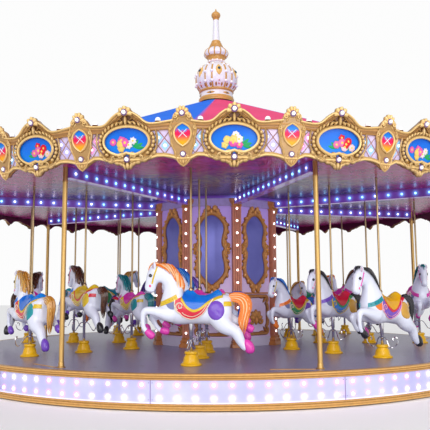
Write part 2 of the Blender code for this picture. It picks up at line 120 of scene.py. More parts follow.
class Skin:
    """Points with a tint and a surface place each, and faces with a slot each."""

    def __init__(self, points, corners, counts, tint=WHITE, slot=0, place=None):
        self.points = np.asarray(points, float).reshape(-1, 3)
        self.corners = np.asarray(corners, np.int64)
        self.counts = np.asarray(counts, np.int64)
        total = len(self.points)
        self.tints = np.array(np.broadcast_to(np.asarray(tint, float), (total, 3)))
        self.slots = np.full(len(self.counts), slot) if np.isscalar(slot) else np.asarray(slot)
        self.places = np.zeros((total, 3)) if place is None else np.asarray(place, float).reshape(-1, 3)

    def mapped(self, points):
        """The same faces on other points."""
        return Skin(points, self.corners, self.counts, self.tints, self.slots, self.places)

    def moved(self, matrix):
        """Turned, scaled and shifted by a 4 x 4 matrix."""
        matrix = np.asarray(matrix)
        return self.mapped(self.points @ matrix[:3, :3].T + matrix[:3, 3])

    def tinted(self, tint):
        """The same skin in one colour."""
        return Skin(self.points, self.corners, self.counts, tint, self.slots, self.places)

    def with_mirrored(self, factors):
        """The skin and its mirror image: coordinates times factors, faces turned round."""
        corners = flipped(self.corners, self.counts)
        image = Skin(self.points * factors, corners, self.counts, self.tints, self.slots, self.places)
        return join(self, image)


def join(*skins):
    """Several skins as one."""
    starts = np.cumsum([0] + [len(skin.points) for skin in skins[:-1]])
    corners = np.concatenate([skin.corners + start for skin, start in zip(skins, starts)])
    points, counts, tints, slots, places = (np.concatenate([getattr(skin, part) for skin in skins])
        for part in ("points", "counts", "tints", "slots", "places"))
    return Skin(points, corners, counts, tints, slots, places)


def copies(skin, matrices, tints=None):
    """One skin repeated at every matrix, with a tint for each copy if given."""
    matrices = np.asarray(matrices)
    count, size = len(matrices), len(skin.points)
    points = np.einsum("kij,nj->kni", matrices[:, :3, :3], skin.points) + matrices[:, None, :3, 3]
    corners = (skin.corners[None, :] + size * np.arange(count)[:, None]).ravel()
    shades = np.tile(skin.tints, (count, 1))
    if tints is not None:
        shades = np.repeat(np.asarray(tints, float), size, axis=0)
    counts, slots = np.tile(skin.counts, count), np.tile(skin.slots, count)
    return Skin(points.reshape(-1, 3), corners, counts, shades, slots, np.tile(skin.places, (count, 1)))


def signed_volume(points, corners, counts):
    """Six times the volume that the faces enclose, positive if they face out."""
    starts = np.concatenate([[0], np.cumsum(counts)[:-1]])
    first, second, third = (points[corners[starts + step]] for step in range(3))
    total = np.einsum("ij,ij->i", first, np.cross(second, third)).sum()
    fours = starts[counts == 4]
    first, third, fourth = (points[corners[fours + step]] for step in (0, 2, 3))
    return total + np.einsum("ij,ij->i", first, np.cross(third, fourth)).sum()


def tube(rings, tint=WHITE, slot=0, looped=False, place=None):
    """Closed skin over rings of points, an array (along, around, 3); its ends are fans or meet."""
    rings = np.asarray(rings, float)
    along, around = rings.shape[:2]
    number = np.arange(along * around).reshape(along, around)
    here = number if looped else number[:-1]
    there = np.roll(number, -1, axis=0) if looped else number[1:]
    quads = stacked(here, np.roll(here, -1, 1), np.roll(there, -1, 1), there).reshape(-1, 4)
    points = rings.reshape(-1, 3)
    shades = np.array(np.broadcast_to(np.asarray(tint, float), (along, around, 3))).reshape(-1, 3)
    spots = None if place is None else np.asarray(place, float).reshape(-1, 3)
    corners, counts = quads.ravel(), np.full(len(quads), 4)
    if not looped:
        low, high = along * around, along * around + 1
        first, last = number[0], number[-1]
        start = stacked(np.full(around, low), np.roll(first, -1), first)
        end = stacked(np.full(around, high), last, np.roll(last, -1))
        points = np.concatenate([points, [rings[0].mean(0), rings[-1].mean(0)]])
        shades = np.concatenate([shades, [shades[0], shades[-1]]])
        if spots is not None:
            spots = np.concatenate([spots, [spots[:around].mean(0), spots[-around:].mean(0)]])
        corners = np.concatenate([corners, start.ravel(), end.ravel()])
        counts = np.concatenate([counts, np.full(2 * around, 3)])
    if signed_volume(points - points.mean(0), corners, counts) < 0:
        corners = flipped(corners, counts)
    return Skin(points, corners, counts, shades, slot, spots)


def flipped(corners, counts):
    """The same faces turned the other way round."""
    starts = np.concatenate([[0], np.cumsum(counts)[:-1]])
    owner = np.repeat(np.arange(len(counts)), counts)
    step = np.arange(len(corners)) - starts[owner]
    return corners[starts[owner] + counts[owner] - 1 - step]


def shell(outer, inner, tint=WHITE, slot=0, place=None):
    """Closed plate between two grids of points (along, across, 3)."""
    outer, inner = np.asarray(outer, float), np.asarray(inner, float)
    rings = np.concatenate([outer, inner[:, ::-1]], axis=1)
    shade = np.asarray(tint, float)
    if shade.ndim == 3:
        shade = np.concatenate([shade, shade[:, ::-1]], axis=1)
    spots = None
    if place is not None:
        spots = np.concatenate([place, np.asarray(place)[:, ::-1]], axis=1)
    return tube(rings, shade, slot, place=spots)


def shift(x=0.0, y=0.0, z=0.0):
    """Matrix of a move."""
    matrix = np.eye(4)
    matrix[:3, 3] = (x, y, z)
    return matrix


def turn(degrees, axis="Z"):
    """Matrix of a turn about an axis."""
    return np.array(Matrix.Rotation(math.radians(degrees), 4, axis))


def sized(x=1.0, y=None, z=None):
    """Matrix of a scaling."""
    return np.diag([x, x if y is None else y, x if z is None else z, 1.0])


def smooth(values, count):
    """Catmull-Rom curve through rows of values, read at evenly spaced parameters."""
    values = np.asarray(values, float)
    if values.ndim == 1:
        values = values[:, None]
    padded = np.concatenate([2 * values[:1] - values[1:2], values, 2 * values[-1:] - values[-2:-1]])
    place = np.linspace(0.0, len(values) - 1.0, count)
    index = np.minimum(place.astype(int), len(values) - 2)
    t = (place - index)[:, None]
    a, b, c, d = (padded[index + step] for step in range(4))
    square, cube = 2 * a - 5 * b + 4 * c - d, 3 * b - a - 3 * c + d
    curve = 0.5 * (2 * b + (c - a) * t + square * t ** 2 + cube * t ** 3)
    return curve[:, 0] if curve.shape[1] == 1 else curve


def directions(path):
    """Unit tangents along a path of points."""
    return unit(np.gradient(np.asarray(path, float), axis=0))


def rod(path, radius, sides=8, flat=1.0, side=(0.0, 0.0, 1.0), tint=WHITE, slot=0, looped=False):
    """Round or oval bar along a path: radius may vary, flat scales it along the side direction."""
    path = np.asarray(path, float)
    if looped:
        along = unit(np.roll(path, -1, 0) - np.roll(path, 1, 0))
    else:
        along = directions(path)
    first = np.cross(along, np.broadcast_to(np.asarray(side, float), along.shape))
    size = np.linalg.norm(first, axis=1, keepdims=True)
    spare = np.cross(along, np.broadcast_to(np.array((0.0013, 1.0, 0.0)), along.shape))
    first = unit(np.where(size > 0.05, first, spare))
    second = np.cross(first, along)
    angle = circle(sides)
    radius = np.broadcast_to(np.asarray(radius, float), (len(path),))[:, None, None]
    across = np.cos(angle)[None, :, None] * first[:, None]
    third = np.sin(angle)[None, :, None] * second[:, None] * flat
    return tube(path[:, None] + radius * (across + third), tint, slot, looped)


def lathe(profile, sides=32, tint=WHITE, slot=0, wave=None, looped=False):
    """Turned form: profile rows of (radius, height); wave(angle, height) scales the radius."""
    profile = np.asarray(profile, float)
    angle = circle(sides)
    radius = np.repeat(profile[:, 0:1], sides, axis=1)
    height = np.repeat(profile[:, 1:2], sides, axis=1)
    if wave is not None:
        radius = radius * wave(angle[None, :], height)
    points = stacked(radius * np.sin(angle), -radius * np.cos(angle), height)
    shade = np.asarray(tint, float)
    if shade.ndim == 2:
        shade = np.repeat(shade[:, None], sides, axis=1)
    return tube(points, shade, slot, looped)


def ball(radius, rows=6, sides=10, tint=WHITE, slot=0, squash=1.0):
    """Ball, or a pebble where squash flattens its height."""
    steep = np.linspace(0.12, np.pi - 0.12, rows)
    profile = stacked(radius * np.sin(steep), squash * radius * np.cos(steep))
    return lathe(profile, sides, tint, slot)


def block(low, high, tint=WHITE, slot=0, cut=0.0):
    """Box between two corners with its long edges cut at 45 degrees."""
    (x0, y0, z0), (x1, y1, z1) = low, high
    outline = [(x0 + cut, y0), (x1 - cut, y0), (x1, y0 + cut), (x1, y1 - cut), (x1 - cut, y1),
        (x0 + cut, y1), (x0, y1 - cut), (x0, y0 + cut)]
    outline = outline if cut else [(x0, y0), (x1, y0), (x1, y1), (x0, y1)]
    rings = np.array([[(x, y, z) for x, y in outline] for z in (z0, z1)])
    return tube(rings, tint, slot)


def polar(radius, degrees, height):
    """Points at angles from the front."""
    angle = np.radians(degrees)
    return stacked(radius * np.sin(angle), -radius * np.cos(angle), height)


def at(degrees, radius, height=0.0):
    """Matrix that sets a front-facing form at an angle, a radius and a height."""
    return turn(degrees) @ shift(0.0, -radius, height)


def ringed(skin, angles):
    """One skin repeated round the axis at the given angles."""
    return copies(skin, [turn(angle) for angle in angles])


def blend_tint(low, high, amount):
    """Colours between two tints, for an array of amounts from 0 to 1."""
    amount = np.clip(np.asarray(amount, float), 0.0, 1.0)[..., None]
    return np.asarray(low) * (1.0 - amount) + np.asarray(high) * amount


def placed(name, data):
    """A new object in the scene."""
    made = bpy.data.objects.new(name, data)
    bpy.context.scene.collection.objects.link(made)
    return made


def piece(name, skin, finishes, body=TURNTABLE, hides=(), crease=40.0):
    """Turn a skin into an object that rides on a body and stands for CAD nodes."""
    mesh = bpy.data.meshes.new(name)
    mesh.vertices.add(len(skin.points))
    mesh.vertices.foreach_set("co", skin.points.astype(np.float32).ravel())
    mesh.loops.add(len(skin.corners))
    mesh.loops.foreach_set("vertex_index", skin.corners.astype(np.int32))
    mesh.polygons.add(len(skin.counts))
    starts = np.concatenate([[0], np.cumsum(skin.counts)[:-1]])
    mesh.polygons.foreach_set("loop_start", starts.astype(np.int32))
    mesh.polygons.foreach_set("material_index", skin.slots.astype(np.int32))
    mesh.update(calc_edges=True)
    tint = mesh.color_attributes.new("tint", "FLOAT_COLOR", "POINT")
    shades = np.concatenate([skin.tints, np.ones((len(skin.tints), 1))], axis=1)
    tint.data.foreach_set("color", shades.astype(np.float32).ravel())
    place = mesh.attributes.new("place", "FLOAT_VECTOR", "POINT")
    place.data.foreach_set("vector", skin.places.astype(np.float32).ravel())
    for finish in finishes if isinstance(finishes, (list, tuple)) else [finishes]:
        mesh.materials.append(finish)
    mesh.polygons.foreach_set("use_smooth", np.ones(len(skin.counts), bool))
    mesh.set_sharp_from_angle(angle=math.radians(crease))
    mesh.validate()
    made = placed(name, mesh)
    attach(made, body)
    if hides:
        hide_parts(*hides)
    return made


# finishes


class Finish:
    """A material whose nodes are added one by one."""

    def __init__(self, name, **sockets):
        self.material = bpy.data.materials.new(name)
        self.material.use_nodes = True
        self.tree = self.material.node_tree
        self.shader = self.tree.nodes["Principled BSDF"]
        for label, value in sockets.items():
            self.shader.inputs[label.replace("_", " ")].default_value = value

    def node(self, kind, inputs=(), **settings):
        """Add a node, set its properties and feed its inputs by number or name."""
        made = self.tree.nodes.new(kind)
        for label, value in settings.items():
            setattr(made, label, value)
        for socket, value in dict(inputs).items():
            if isinstance(value, bpy.types.NodeSocket):
                self.tree.links.new(value, made.inputs[socket])
            else:
                made.inputs[socket].default_value = value
        return made

    def feed(self, label, socket):
        """Drive one of the shader's inputs."""
        self.tree.links.new(socket, self.shader.inputs[label])

    def calc(self, operation, first, second=0.0, third=0.0):
        """One sum of numbers or sockets."""
        return self.node("ShaderNodeMath", {0: first, 1: second, 2: third}, operation=operation).outputs[0]

    def attribute(self, name, part="Color"):
        """A value carried by the surface."""
        return self.node("ShaderNodeAttribute", attribute_name=name).outputs[part]

    def where(self):
        """Object coordinates as a vector and as X, Y and Z."""
        spot = self.node("ShaderNodeTexCoord").outputs["Object"]
        parts = self.node("ShaderNodeSeparateXYZ", {0: spot}).outputs
        return spot, parts[0], parts[1], parts[2]

    def reach(self):
        """Distance from the ride's axis: the root of x squared plus y squared."""
        spot, x, y, z = self.where()
        return self.calc("SQRT", self.calc("ADD", self.calc("MULTIPLY", x, x), self.calc("MULTIPLY", y, y)))

    def halo(self, across, rise, fall):
        """Glow round a lamp: e to the power of fall times the squared distance."""
        away = self.calc("ADD", self.calc("POWER", across, 2.0), self.calc("POWER", rise, 2.0))
        return self.calc("EXPONENT", self.calc("MULTIPLY", away, fall))

    def noise(self, scale, detail=3.0, rough=0.55, vector=None, distortion=0.0):
        """Cloudy noise from 0 to 1."""
        spot = self.where()[0] if vector is None else vector
        made = self.node("ShaderNodeTexNoise", {
            "Vector": spot, "Scale": scale, "Detail": detail,
            "Roughness": rough, "Distortion": distortion,
        })
        return made.outputs["Fac"]

    def ramp(self, value, stops, interpolation="LINEAR"):
        """Colours or greys at places from 0 to 1."""
        made = self.node("ShaderNodeValToRGB", {0: value})
        made.color_ramp.interpolation = interpolation
        elements = made.color_ramp.elements
        while len(elements) < len(stops):
            elements.new(0.5)
        for element, (position, colour) in zip(elements, stops):
            element.position = position
            shade = (colour,) * 3 if np.isscalar(colour) else colour
            element.color = (*shade, 1.0)
        return made.outputs["Color"]

    def mix(self, amount, first, second, blend="MIX"):
        """Mix two colours."""
        first = (*first, 1.0) if isinstance(first, tuple) else first
        second = (*second, 1.0) if isinstance(second, tuple) else second
        made = self.node("ShaderNodeMix", {0: amount, 6: first, 7: second}, data_type="RGBA",
            blend_type=blend)
        return made.outputs[2]

    def bump(self, height, strength=0.3, distance=0.002):
        """Relief in the shader's normal."""
        made = self.node("ShaderNodeBump", {"Height": height, "Strength": strength, "Distance": distance})
        self.feed("Normal", made.outputs["Normal"])


def tinted_gloss(name, roughness, grain=14.0, coat=0.5, metallic=0.0, wear=0.1, shine=0.5):
    """Gloss paint in the surface's own tint, with faint cloudiness and an uneven skin."""
    finish = Finish(name, Roughness=roughness, Metallic=metallic, Coat_Weight=coat, Coat_Roughness=0.08,
        Specular_IOR_Level=shine)
    cloud = finish.noise(grain, 4.0)
    shade = finish.ramp(cloud, [(0.3, 1.0 - wear), (0.7, 1.0)])
    finish.feed("Base Color", finish.mix(1.0, finish.attribute("tint"), shade, "MULTIPLY"))
    rough = finish.calc("MULTIPLY_ADD", finish.noise(grain * 3.0), 0.16, roughness - 0.08)
    finish.feed("Roughness", rough)
    finish.bump(finish.noise(grain * 9.0, 2.0), 0.08, 0.001)
    return finish.material


def lit_lens(name, strength, roughness=0.2, coat=0.0):
    """Lens or stone in the surface's tint, glowing from within: lamp light for a lens, painted glow for a
    stone.
    """
    finish = Finish(name, Roughness=roughness, Emission_Strength=strength, Coat_Weight=coat)
    finish.feed("Base Color", finish.attribute("tint"))
    finish.feed("Emission Color", finish.attribute("tint"))
    return finish.material


def metal(name, colour, roughness, streak=60.0, stretch=(1.0, 1.0, 0.04)):
    """Bare metal with fine streaks along its length."""
    finish = Finish(name, Metallic=1.0, Roughness=roughness)
    spot = finish.node("ShaderNodeVectorMath", {0: finish.where()[0], 1: stretch},
        operation="MULTIPLY").outputs[0]
    grain = finish.noise(streak, 3.0, vector=spot)
    dark = tuple(0.72 * part for part in colour)
    finish.feed("Base Color", finish.ramp(grain, [(0.3, dark), (0.65, colour)]))
    finish.feed("Roughness", finish.calc("MULTIPLY_ADD", grain, 0.15, roughness - 0.07))
    return finish.material


RELIEF_GOLD = tinted_gloss("relief_gold", 0.34, 22.0, 0.25, 0.15, 0.16)
ENAMEL = tinted_gloss("enamel_gloss", 0.3, 9.0, 0.1, 0.0, 0.05, 0.25)
LAMP = lit_lens("lamp_lens", 3.0)
LED = lit_lens("led_lens", 1.5)
# the gems, the white domes on the crests among them, hold no lamp: their faint glow is painted light
GEM_WHITE = lit_lens("gem_white", 0.22, 0.08, 0.8)
BRASS = metal("pole_brass", (0.52, 0.37, 0.2), 0.3)
CHROME = metal("shaft_chrome", (0.8, 0.8, 0.84), 0.1)
POST_GOLD = metal("post_gold", (0.74, 0.47, 0.17), 0.46)
RELIEF_COPPER = tinted_gloss("relief_copper", 0.4, 20.0, 0.15, 0.05, 0.2)
RELIEF_PAINT = tinted_gloss("relief_paint", 0.36, 18.0, 0.2, 0.1, 0.15)
CORE_PAINT = tinted_gloss("core_paint", 0.3, 3.0, 0.15, 0.0, 0.1, 0.35)
FINIAL_GLOSS = tinted_gloss("finial_gloss", 0.28, 12.0, 0.3, 0.0, 0.06, 0.4)
YELLOW_CAST = tinted_gloss("yellow_cast", 0.3, 16.0, 0.2, 0.0, 0.16, 0.35)
HORSE_GLOSS = tinted_gloss("horse_gloss", 0.24, 7.0, 0.3, 0.0, 0.07, 0.4)


def mirror_glass():
    """Periwinkle mirror sheet with soft clouds and a few faint spots."""
    finish = Finish("mirror_glass", Metallic=0.3, Roughness=0.16)
    cloud = finish.noise(2.0, 3.0)
    tone = finish.ramp(cloud, [(0.3, (0.12, 0.125, 0.44)), (0.7, (0.18, 0.185, 0.56))])
    marks = finish.ramp(finish.noise(26.0, 2.0, 0.4), [(0.72, 0.0), (0.8, 0.5)])
    finish.feed("Base Color", finish.mix(marks, tone, (0.1, 0.08, 0.22)))
    return finish.material


def roof_cloth():
    """Coated sheet: fine weave, faint wrinkles and darker clouds over its own tint, with patches of painted
    pale-blue reflection.
    """
    finish = Finish("roof_cloth", Roughness=0.62, Specular_IOR_Level=0.12)
    cloud = finish.ramp(finish.noise(1.6, 4.0), [(0.3, 0.86), (0.7, 1.0)])
    tone = finish.mix(1.0, finish.attribute("tint"), cloud, "MULTIPLY")
    # painted reflection: pale-blue patches mixed into the colour
    pale = finish.ramp(finish.noise(0.9, 2.0), [(0.55, 0.0), (0.85, 0.1)])
    finish.feed("Base Color", finish.mix(pale, tone, (0.2, 0.42, 0.95)))
    wrinkles = finish.noise(5.0, 3.0, 0.5, distortion=0.8)
    weave = finish.noise(240.0, 1.0)
    finish.bump(finish.calc("MULTIPLY_ADD", weave, 0.1, wrinkles), 0.25, 0.006)
    return finish.material


def steel_paint():
    """Dark grey paint with dusty clouds and worn, lighter scuffs."""
    finish = Finish("steel_paint", Roughness=0.5, Metallic=0.3)
    grain = finish.noise(6.0, 5.0, 0.6)
    finish.feed("Base Color", finish.ramp(grain, [(0.35, (0.035, 0.037, 0.04)), (0.6, (0.06, 0.062, 0.066)),
        (0.75, (0.13, 0.125, 0.12))]))
    finish.bump(finish.noise(120.0, 2.0), 0.15, 0.001)
    return finish.material


MIRROR = mirror_glass()
ROOF_SHEET = roof_cloth()
STEEL = steel_paint()
RINGS = {
    "outer": {"radius": 3.44, "size": 1.0},
    "middle": {"radius": 2.6, "size": 0.9},
    "inner": {"radius": 1.77, "size": 0.82},
}


# camera, floor and light


def place_camera():
    """The photo's view: a low camera in front, turned a little to the right and up."""
    heading, pitch, roll = (math.radians(value) for value in (16.8, 6.92, -0.386))
    forward = Vector((math.sin(heading) * math.cos(pitch), math.cos(heading) * math.cos(pitch),
        math.sin(pitch)))
    level = Vector((math.cos(heading), -math.sin(heading), 0.0))
    up = level.cross(forward)
    right = level * math.cos(roll) + up * math.sin(roll)
    top = up * math.cos(roll) - level * math.sin(roll)
    data = bpy.data.cameras.new("camera")
    data.sensor_width = 36.0
    data.lens = 52.82
    camera = placed("camera", data)
    place = Matrix((right, top, -forward)).transposed().to_4x4()
    place.translation = (-3.283, -10.732, DECK + 0.888)
    camera.matrix_world = place
    bpy.context.scene.camera = camera


def make_floor():
    """Plain pale ground."""
    half = 60.0
    mesh = bpy.data.meshes.new("floor")
    mesh.from_pydata([(-half, -half, 0.0), (half, -half, 0.0), (half, half, 0.0), (-half, half, 0.0)], [],
        [(0, 1, 2, 3)])
    finish = Finish("floor_pale", Base_Color=(0.93, 0.93, 0.94, 1.0), Roughness=0.7)
    mesh.materials.append(finish.material)
    placed("floor", mesh)


def make_light():
    """White surroundings, a wide soft sun from the upper left, a low fill and a glow under the canopy."""
    world = bpy.data.worlds.new("studio")
    world.use_nodes = True
    tree = world.node_tree
    choice = tree.nodes.new("ShaderNodeMixShader")
    tree.links.new(tree.nodes.new("ShaderNodeLightPath").outputs["Is Camera Ray"], choice.inputs[0])
    for slot, sky, strength in ((1, tree.nodes["Background"], 0.62),
            (2, tree.nodes.new("ShaderNodeBackground"), 0.98)):
        sky.inputs["Color"].default_value = (1.0, 1.0, 1.0, 1.0)
        sky.inputs["Strength"].default_value = strength
        tree.links.new(sky.outputs[0], choice.inputs[slot])
    tree.links.new(choice.outputs[0], tree.nodes["World Output"].inputs["Surface"])
    bpy.context.scene.world = world
    for name, kind, place, power, width in (("key", "SUN", (-7.0, -12.0, 9.0), 1.55, math.radians(50.0)),
            ("fill", "AREA", (2.0, -16.0, 2.6), 620.0, 9.0)):
        data = bpy.data.lights.new(name, kind)
        data.energy = power
        setattr(data, "angle" if kind == "SUN" else "size", width)
        lamp = placed(name, data)
        lamp.location = place
        lamp.rotation_euler = (Vector((0.0, 0.0, 1.5)) - Vector(place)).to_track_quat("-Z", "Y").to_euler()
    glow = bpy.data.lights.new("under_canopy", "AREA")
    glow.shape = "DISK"
    glow.size = 6.6
    glow.energy = 74.0
    glow.color = (0.8, 0.78, 1.0)
    lamp = placed("under_canopy", glow)
    lamp.location = (0.0, 0.0, DECK + 2.4)
    lamp.visible_camera = False
    lamp.visible_glossy = False
    view = bpy.context.scene.view_settings
    view.view_transform = "Standard"
    view.look = "None"


# platform


SKIRT_SEGMENTS = 12
SKIRT_LAMPS = 11
SKIRT_SEAM = 2.75
BAND_LOW, BAND_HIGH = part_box("skirt_light_band")[0].z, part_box("skirt_light_band")[1].z
LAMP_ROWS = (DECK - 0.122, DECK - 0.262)
WARM = (1.0, 0.86, 0.62)
PINK = (1.0, 0.36, 0.62)
VIOLET = (0.62, 0.4, 1.0)


def lamp_dome(radius):
    """Round lens standing proud of a thin rim, facing -Y at the origin."""
    profile = np.array(((1.0, 0.0), (1.0, 0.3), (0.78, 0.64), (0.35, 0.86)))
    return lathe(radius * profile, 10).moved(turn(90.0, "X"))


def skirt_lamp_places():
    """Angle of every skirt lamp, and its colour in each of the two rows: groups of three lamps in pink, warm
    white and violet, picked at random.
    """
    pitch = 360.0 / SKIRT_SEGMENTS / SKIRT_LAMPS
    angles = SKIRT_SEAM + pitch * (np.arange(SKIRT_SEGMENTS * SKIRT_LAMPS) + 0.5)
    shuffle = np.random.default_rng(11)
    kinds = np.array([PINK, PINK, WARM, VIOLET, WARM, PINK])
    groups = shuffle.integers(0, len(kinds), (2, len(angles) // 3 + 1)).repeat(3, axis=1)[:, :len(angles)]
    return angles, kinds[groups]


def as_object(skin):
    """A plain object with the skin's faces, for modifiers to work on."""
    mesh = bpy.data.meshes.new("form")
    starts = np.concatenate([[0], np.cumsum(skin.counts)[:-1]])
    faces = [skin.corners[start:start + count].tolist() for start, count in zip(starts, skin.counts)]
    mesh.from_pydata(skin.points.tolist(), [], faces)
    return placed("form", mesh)


def values_of(items, label, width=1, kind=float):
    """One property of all the points, corners or faces of a mesh as a flat array."""
    values = np.empty(len(items) * width, kind)
    items.foreach_get(label, values)
    return values


def after_modifiers(form):
    """The mesh of a form after its modifiers, and its points; the form itself goes."""
    bpy.context.view_layer.update()
    shape = bpy.data.meshes.new_from_object(form.evaluated_get(bpy.context.evaluated_depsgraph_get()))
    bpy.data.objects.remove(form, do_unlink=True)
    return shape, values_of(shape.vertices, "co", 3)


def as_shaped(form):
    """The skin and the mesh of a form after its modifiers."""
    shape, points = after_modifiers(form)
    corners = values_of(shape.loops, "vertex_index", 1, np.int32)
    return Skin(points, corners, values_of(shape.polygons, "loop_total", 1, np.int32)), shape


def bored(skin, tools):
    """A skin with the closed forms of another cut out of it."""
    form, cutter = as_object(skin), as_object(tools)
    cut = form.modifiers.new("cut", "BOOLEAN")
    cut.operation = "DIFFERENCE"
    cut.solver = "EXACT"
    cut.object = cutter
    result = as_shaped(form)[0]
    bpy.data.objects.remove(cutter, do_unlink=True)
    return result


def seat_places(height):
    """Matrices of the 24 horses' shafts at a height."""
    return [at(angle, ring["radius"], height) for angle in ROW_ANGLES for ring in RINGS.values()]


def make_deck():
    """Round deck plate, bored for the shafts, and its threshold strips at the bays."""
    edge, low = DECK_HIGH.x, DECK_LOW.z
    radii = np.concatenate([np.linspace(0.05, 3.9, 12), [edge - 0.012, edge - 0.004, edge]])
    top = [(r, DECK) for r in radii[:-1]] + [(edge, DECK - 0.006), (edge, low), (0.05, low)]
    hole = 0.0232
    bore = lathe([(0.002, low - 0.02), (hole, low - 0.02), (hole, DECK + 0.02), (0.002, DECK + 0.02)], 12)
    plate = bored(lathe(top, 96), copies(bore, seat_places(0.0)))
    piece("deck_plate", plate, deck_paint(), hides=["platform_deck"])
    strip = block((-0.26, -0.022, 0.0002), (0.26, 0.022, 0.005), GOLD, 0, 0.003)
    places = [at(angle - 4.6, edge - 0.2, DECK) @ turn(-14.0) for angle in BAY_ANGLES]
    piece("threshold_strips", copies(strip, places), RELIEF_GOLD)


def deck_paint():
    """Grey-lilac sheet with fine brushed streaks, scuffs and a few small dark marks."""
    finish = Finish("deck_sheet", Roughness=0.3, Coat_Weight=0.2, Coat_Roughness=0.2)
    spot = finish.where()[0]
    across = finish.node("ShaderNodeVectorMath", {0: spot, 1: (1.0, 14.0, 1.0)},
        operation="MULTIPLY").outputs[0]
    streak = finish.noise(9.0, 5.0, 0.65, across)
    cloud = finish.noise(1.3, 4.0, 0.6)
    tone = finish.ramp(streak, [(0.3, (0.145, 0.13, 0.235)), (0.52, (0.205, 0.185, 0.315)),
        (0.72, (0.29, 0.27, 0.42))])
    tone = finish.mix(finish.ramp(cloud, [(0.35, 0.0), (0.75, 0.5)]), tone, (0.15, 0.13, 0.25))
    marks = finish.ramp(finish.noise(5.5, 2.0, 0.4), [(0.745, 0.0), (0.765, 0.85)])
    finish.feed("Base Color", finish.mix(marks, tone, (0.035, 0.03, 0.04)))
    finish.feed("Roughness", finish.calc("MULTIPLY_ADD", streak, 0.26, 0.18))
    finish.bump(streak, 0.12, 0.001)
    return finish.material


def make_stands():
    """Yellow cast bells round the shafts: a flange, a ribbed body and a cap ring, with six bolts."""
    profile = mm((21.5, 2), (127, 2), (130, 10), (128, 22), (108, 31), (97, 42), (90, 70), (82, 105),
        (71, 126), (70, 133), (80, 141), (82, 152), (78, 169), (64, 176), (21.5, 174))

    def ribs(angle, height):
        """Eight soft ribs on the body, none on flange and lip."""
        body = np.clip((height - 0.03) / 0.02, 0.0, 1.0) * np.clip((0.125 - height) / 0.02, 0.0, 1.0)
        return 1.0 + 0.075 * body * np.abs(np.cos(4.0 * angle)) ** 3
    stand = lathe(profile, 24, (0.84, 0.46, 0.002), wave=ribs, looped=True)
    bolt = ball(0.007, 3, 5, (0.55, 0.33, 0.02), squash=0.6)
    bolts = copies(bolt, [turn(60.0 * n) @ shift(0.116, 0.0, 0.02) for n in range(6)])
    piece("pole_stands", copies(join(stand, bolts), seat_places(DECK)), YELLOW_CAST)


def ridged_ring(name, node, upper, lower):
    """Turned moulding from rows measured in from its top edge and from its foot, with painted highlight on
    its outermost ridges and painted shade further in.
    """
    low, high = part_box(node)
    inner = DECK_HIGH.x + 0.0005
    sides = (high.x, high.z) - upper, (high.x, low.z) + lower * (-1.0, 1.0)
    profile = np.concatenate([[(inner, high.z)], *sides, [(inner, low.z)]])
    # painted highlight within 26 mm of the outermost radius, painted shade further in
    nose = np.clip((profile[:, 0] - profile[:, 0].max() + 0.026) / 0.026, 0.0, 1.0)
    ring = lathe(profile, 144, blend_tint((0.3, 0.125, 0.03), (0.72, 0.4, 0.115), nose), looped=True)
    piece(name, ring, RELIEF_GOLD, hides=[node])


def make_skirt():
    """Two ridged gold mouldings, the glowing band between them, its lamps, seams and screws."""
    ridged_ring("skirt_top_gold", "skirt_top_moulding", mm((10, 0), (0, 6), (0, 20), (12, 25), (4, 34),
        (4, 44), (16, 49), (10, 56)), mm((10, 4), (18, 0)))
    ridged_ring("skirt_bottom_gold", "skirt_bottom_moulding", mm((14, 0), (8, 6), (8, 18), (15, 23),
        (4, 32), (4, 44), (10, 48), (0, 58)), mm((0, 3), (3, 0)))
    angles, kinds = skirt_lamp_places()
    count = len(angles)
    r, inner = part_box("skirt_light_band")[1].x, DECK_HIGH.x + 0.0005
    turns = SKIRT_SEAM + 360.0 / (count * 2) * np.arange(count * 2)
    heights = np.array([BAND_LOW, BAND_LOW + 0.012, LAMP_ROWS[1], sum(LAMP_ROWS) / 2, LAMP_ROWS[0],
        BAND_HIGH])
    face = polar(r, turns[:, None], heights)
    back = polar(inner, turns[:, None], heights)
    glow = kinds[[1, 1, 1, 0, 0, 0]][:, np.arange(count * 2) // 2].transpose(1, 0, 2)
    place = stacked((np.arange(count * 2) / 2.0)[:, None], heights, 0.0)
    rings = np.concatenate([face, back[:, ::-1]], 1)
    band = tube(rings, np.concatenate([glow, glow[:, ::-1]], 1), 0, True,
        np.concatenate([place, place[:, ::-1]], 1))
    piece("skirt_glow_band", band, band_sheet(count), hides=["skirt_light_band"])

    lens = lamp_dome(0.0195)
    spots, shades = [], []
    for row, height in enumerate(LAMP_ROWS):
        spots += [at(angle, r, height) for angle in angles]
        shades.append(0.45 * kinds[row] + 0.55)
    lamps = copies(lens, spots, np.concatenate(shades))
    piece("skirt_lamps", lamps, LAMP)
    seam = block((-0.0035, -0.005, BAND_LOW), (0.0035, 0.001, BAND_HIGH), (0.3, 0.22, 0.4))
    screw = ball(0.006, 4, 6, (0.25, 0.2, 0.3), squash=0.6).moved(turn(90.0, "X"))
    around = [at(SKIRT_SEAM + 30.0 * n, r) for n in range(SKIRT_SEGMENTS)]
    spots = [(side, height) for height in (BAND_HIGH - 0.03, BAND_LOW + 0.04) for side in (-0.022, 0.022)]
    screws = [place @ shift(side, 0.0, height) for place in around for side, height in spots]
    piece("skirt_seams", join(copies(seam, around), copies(screw, screws)), ENAMEL)


